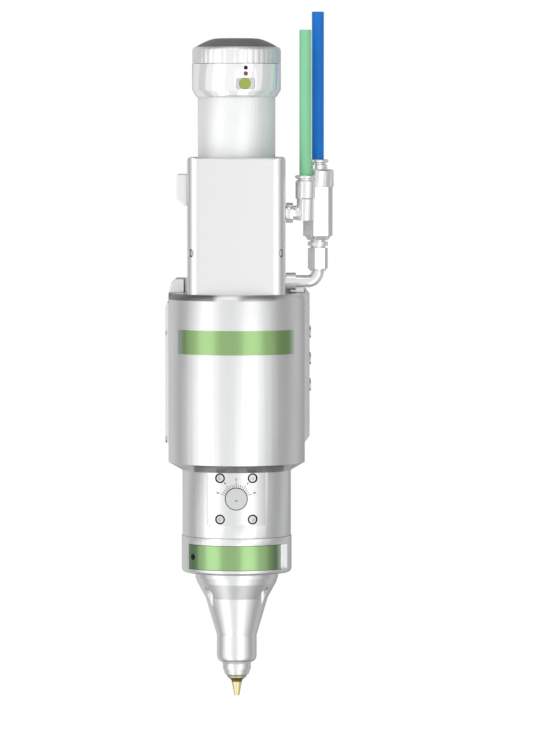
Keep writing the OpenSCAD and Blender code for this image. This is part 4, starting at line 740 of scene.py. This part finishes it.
for value in scaleNumbers["values"]:
    numberPiece(value, scaleNumbers)
print("scale, dial and threads made")

# floor of the release button's pocket
pocketFloor = {
    "angle": 12.4, "out": 27.36, "z": 408.8, "width": 12.9, "height": 7.6,
    "corner": 1.6, "cornerSteps": 8, "hole": 3.85, "thick": 0.04,
}


def pocketPiece(look):
    turn = Matrix.Rotation(math.radians(look["angle"]), 4, "Z")
    corner, steps = look["corner"], look["cornerSteps"]
    halfW, halfH = look["width"] / 2 - corner, look["height"] / 2 - corner
    rim, ring = [], []
    for k, (sx, sz) in enumerate(((1, 1), (-1, 1), (-1, -1), (1, -1))):
        for i in range(steps + 1):
            a = math.radians(90 * k + 90 * i / steps)
            rim.append((sx * halfW + corner * math.cos(a), sz * halfH + corner * math.sin(a)))
    for x, z in rim:
        reach = math.hypot(x, z)
        ring.append((x / reach * look["hole"], z / reach * look["hole"]))
    count = len(rim)
    verts = []
    for depth in (0, -look["thick"]):
        for x, z in rim + ring:
            verts.append(turn @ point((x, -look["out"] + depth, look["z"] + z)))
    faces = []
    for i in range(count):
        j = (i + 1) % count
        faces.append((2 * count + i, 2 * count + j, 3 * count + j, 3 * count + i))
        faces.append((i, count + i, count + j, j))
        faces.append((i, j, 2 * count + j, 2 * count + i))
        faces.append((count + j, count + i, 3 * count + i, 3 * count + j))
    piece = addMesh("pocketFloor", verts, faces)
    piece.data.materials.append(finishes["pocketSteel"])
    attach(piece, "head")


pocketPiece(pocketFloor)
print("pocket made")

# rounded edges on the solids, by weld and bevel; widths in mm
edgeRound = {
    0.6: ["main_housing", "shoulder_cap"],
    0.4: ["collimator_tube", "receiver_body", "neck_barrel", "window_housing", "upper_drawer",
          "hex_body", "end_ring", "green_elbow", "nozzle_holder", "union_nut"],
    0.25: ["scale_screws", "right_cover_screws", "focus_dial", "connector",
           "green_collet", "blue_collet", "release_button", "lock_ring"],
}
edgeShape = {"weld": 0.001, "segments": 2, "angle": 38}
for width, names in edgeRound.items():
    for name in names:
        weld = nodes[name].modifiers.new("edgeWeld", "WELD")
        weld.merge_threshold = edgeShape["weld"] * mm
        bevel = nodes[name].modifiers.new("edgeRound", "BEVEL")
        bevel.width = width * mm
        bevel.segments = edgeShape["segments"]
        bevel.limit_method = "ANGLE"
        bevel.angle_limit = math.radians(edgeShape["angle"])
        bevel.harden_normals = True
        bevel.use_clamp_overlap = True
print("edges rounded")

# light and floor
studio = {
    "floor": {"z": -2500, "radius": 6000, "sides": 96, "colour": (0.86, 0.86, 0.86), "shade": 0.98,
              "cloud": 400, "cloudDetail": 3, "rough": 0.8, "glow": 0.4},
    # strengths, and the heights between which the ground and overhead tones blend in
    "world": {"shown": 1.0, "low": 0.3, "level": 0.45, "high": 0.16, "soft": 0.45,
              "ground": (-0.85, -0.5), "overhead": (0.45, 0.7)},
    # azimuth from the front towards the right, elevation, distance, width, height, brightness
    "boxes": {
        "sweepLeft": (-65, -8, 1600, 1500, 4600, 0.42),
        "sweepFront": (-12.5, -8, 1600, 1660, 4600, 0.47),
        "sweepRight": (41.5, -8, 1600, 1600, 4600, 0.42),
        "leftBox": (-51, -8, 1400, 800, 4100, 0.70),
        "rightBox": (26, -8, 1400, 780, 4100, 0.70),
        "leftRear": (-140, 0, 1700, 1300, 3200, 0.3),
        "rightRear": (120, 0, 1700, 900, 3000, 0.22),
        "upperFront": (-20, 57, 1600, 880, 560, 1.5),
        "topBox": (0, 88, 1700, 700, 700, 0.6),
    },
    "middle": (0, 0, 230),
}


def addSoftbox(name, values, middle):
    azimuth, elevation, distance, width, height, bright = values
    a, e = math.radians(azimuth), math.radians(elevation)
    away = Vector((math.sin(a) * math.cos(e), -math.cos(a) * math.cos(e), math.sin(e)))
    lamp = bpy.data.lights.new(name, "AREA")
    lamp.shape = "RECTANGLE"
    lamp.size = width * mm
    lamp.size_y = height * mm
    lamp.energy = bright * math.pi * lamp.size * lamp.size_y
    made = addPiece(name, lamp)
    made.location = point(middle) + away * distance * mm
    made.rotation_euler = away.to_track_quat("Z", "Y").to_euler()
    made.visible_camera = False


def addFloor(values):
    sides, r = values["sides"], values["radius"]
    turns = [2 * math.pi * i / sides for i in range(sides)]
    verts = [point((r * math.cos(a), r * math.sin(a), values["z"])) for a in turns]
    floor = addMesh("studioFloor", verts, [tuple(range(sides))])
    mat, tree, shader, coords = newFinish("paleFloor")
    pale = noise(tree, coords, values["cloud"], values["cloudDetail"])
    shade = tuple(c * values["shade"] for c in values["colour"])
    tree.links.new(mixColour(tree, pale, values["colour"], shade), shader.inputs["Base Color"])
    shader.inputs["Roughness"].default_value = values["rough"]
    shader.inputs["Emission Color"].default_value = (1, 1, 1, 1)
    shader.inputs["Emission Strength"].default_value = values["glow"]
    floor.data.materials.append(mat)
    floor.visible_glossy = False
    floor.visible_diffuse = False


def addWorld(values):
    world = bpy.data.worlds.new("paleStudio")
    scene.world = world
    world.use_nodes = True
    tree = world.node_tree
    tree.nodes.clear()
    path = tree.nodes.new("ShaderNodeLightPath")
    end = tree.nodes.new("ShaderNodeOutputWorld")

    def plain(strength):
        made = tree.nodes.new("ShaderNodeBackground")
        made.inputs["Color"].default_value = (1, 1, 1, 1)
        made.inputs["Strength"].default_value = strength
        return made.outputs["Background"]

    def choose(factor, first, second):
        made = tree.nodes.new("ShaderNodeMixShader")
        setInputs(tree, made.inputs, (factor, first, second))
        return made.outputs["Shader"]

    # what shines is darker towards the ground and overhead
    coords = tree.nodes.new("ShaderNodeTexCoord")
    split = tree.nodes.new("ShaderNodeSeparateXYZ")
    tree.links.new(coords.outputs["Generated"], split.inputs["Vector"])
    up = split.outputs["Z"]
    under = spread(tree, up, values["low"], values["level"], *values["ground"])
    over = spread(tree, up, 0, values["high"] - values["level"], *values["overhead"])
    mirrored = tree.nodes.new("ShaderNodeBackground")
    tree.links.new(mathNode(tree, "ADD", under, over), mirrored.inputs["Strength"])
    glossy = choose(path.outputs["Is Glossy Ray"], plain(values["soft"]),
                    mirrored.outputs["Background"])
    seen = choose(path.outputs["Is Camera Ray"], glossy, plain(values["shown"]))
    tree.links.new(seen, end.inputs["Surface"])


for name, values in studio["boxes"].items():
    addSoftbox(name, values, studio["middle"])
addFloor(studio["floor"])
addWorld(studio["world"])
scene.view_settings.view_transform = "Standard"
print("studio set")
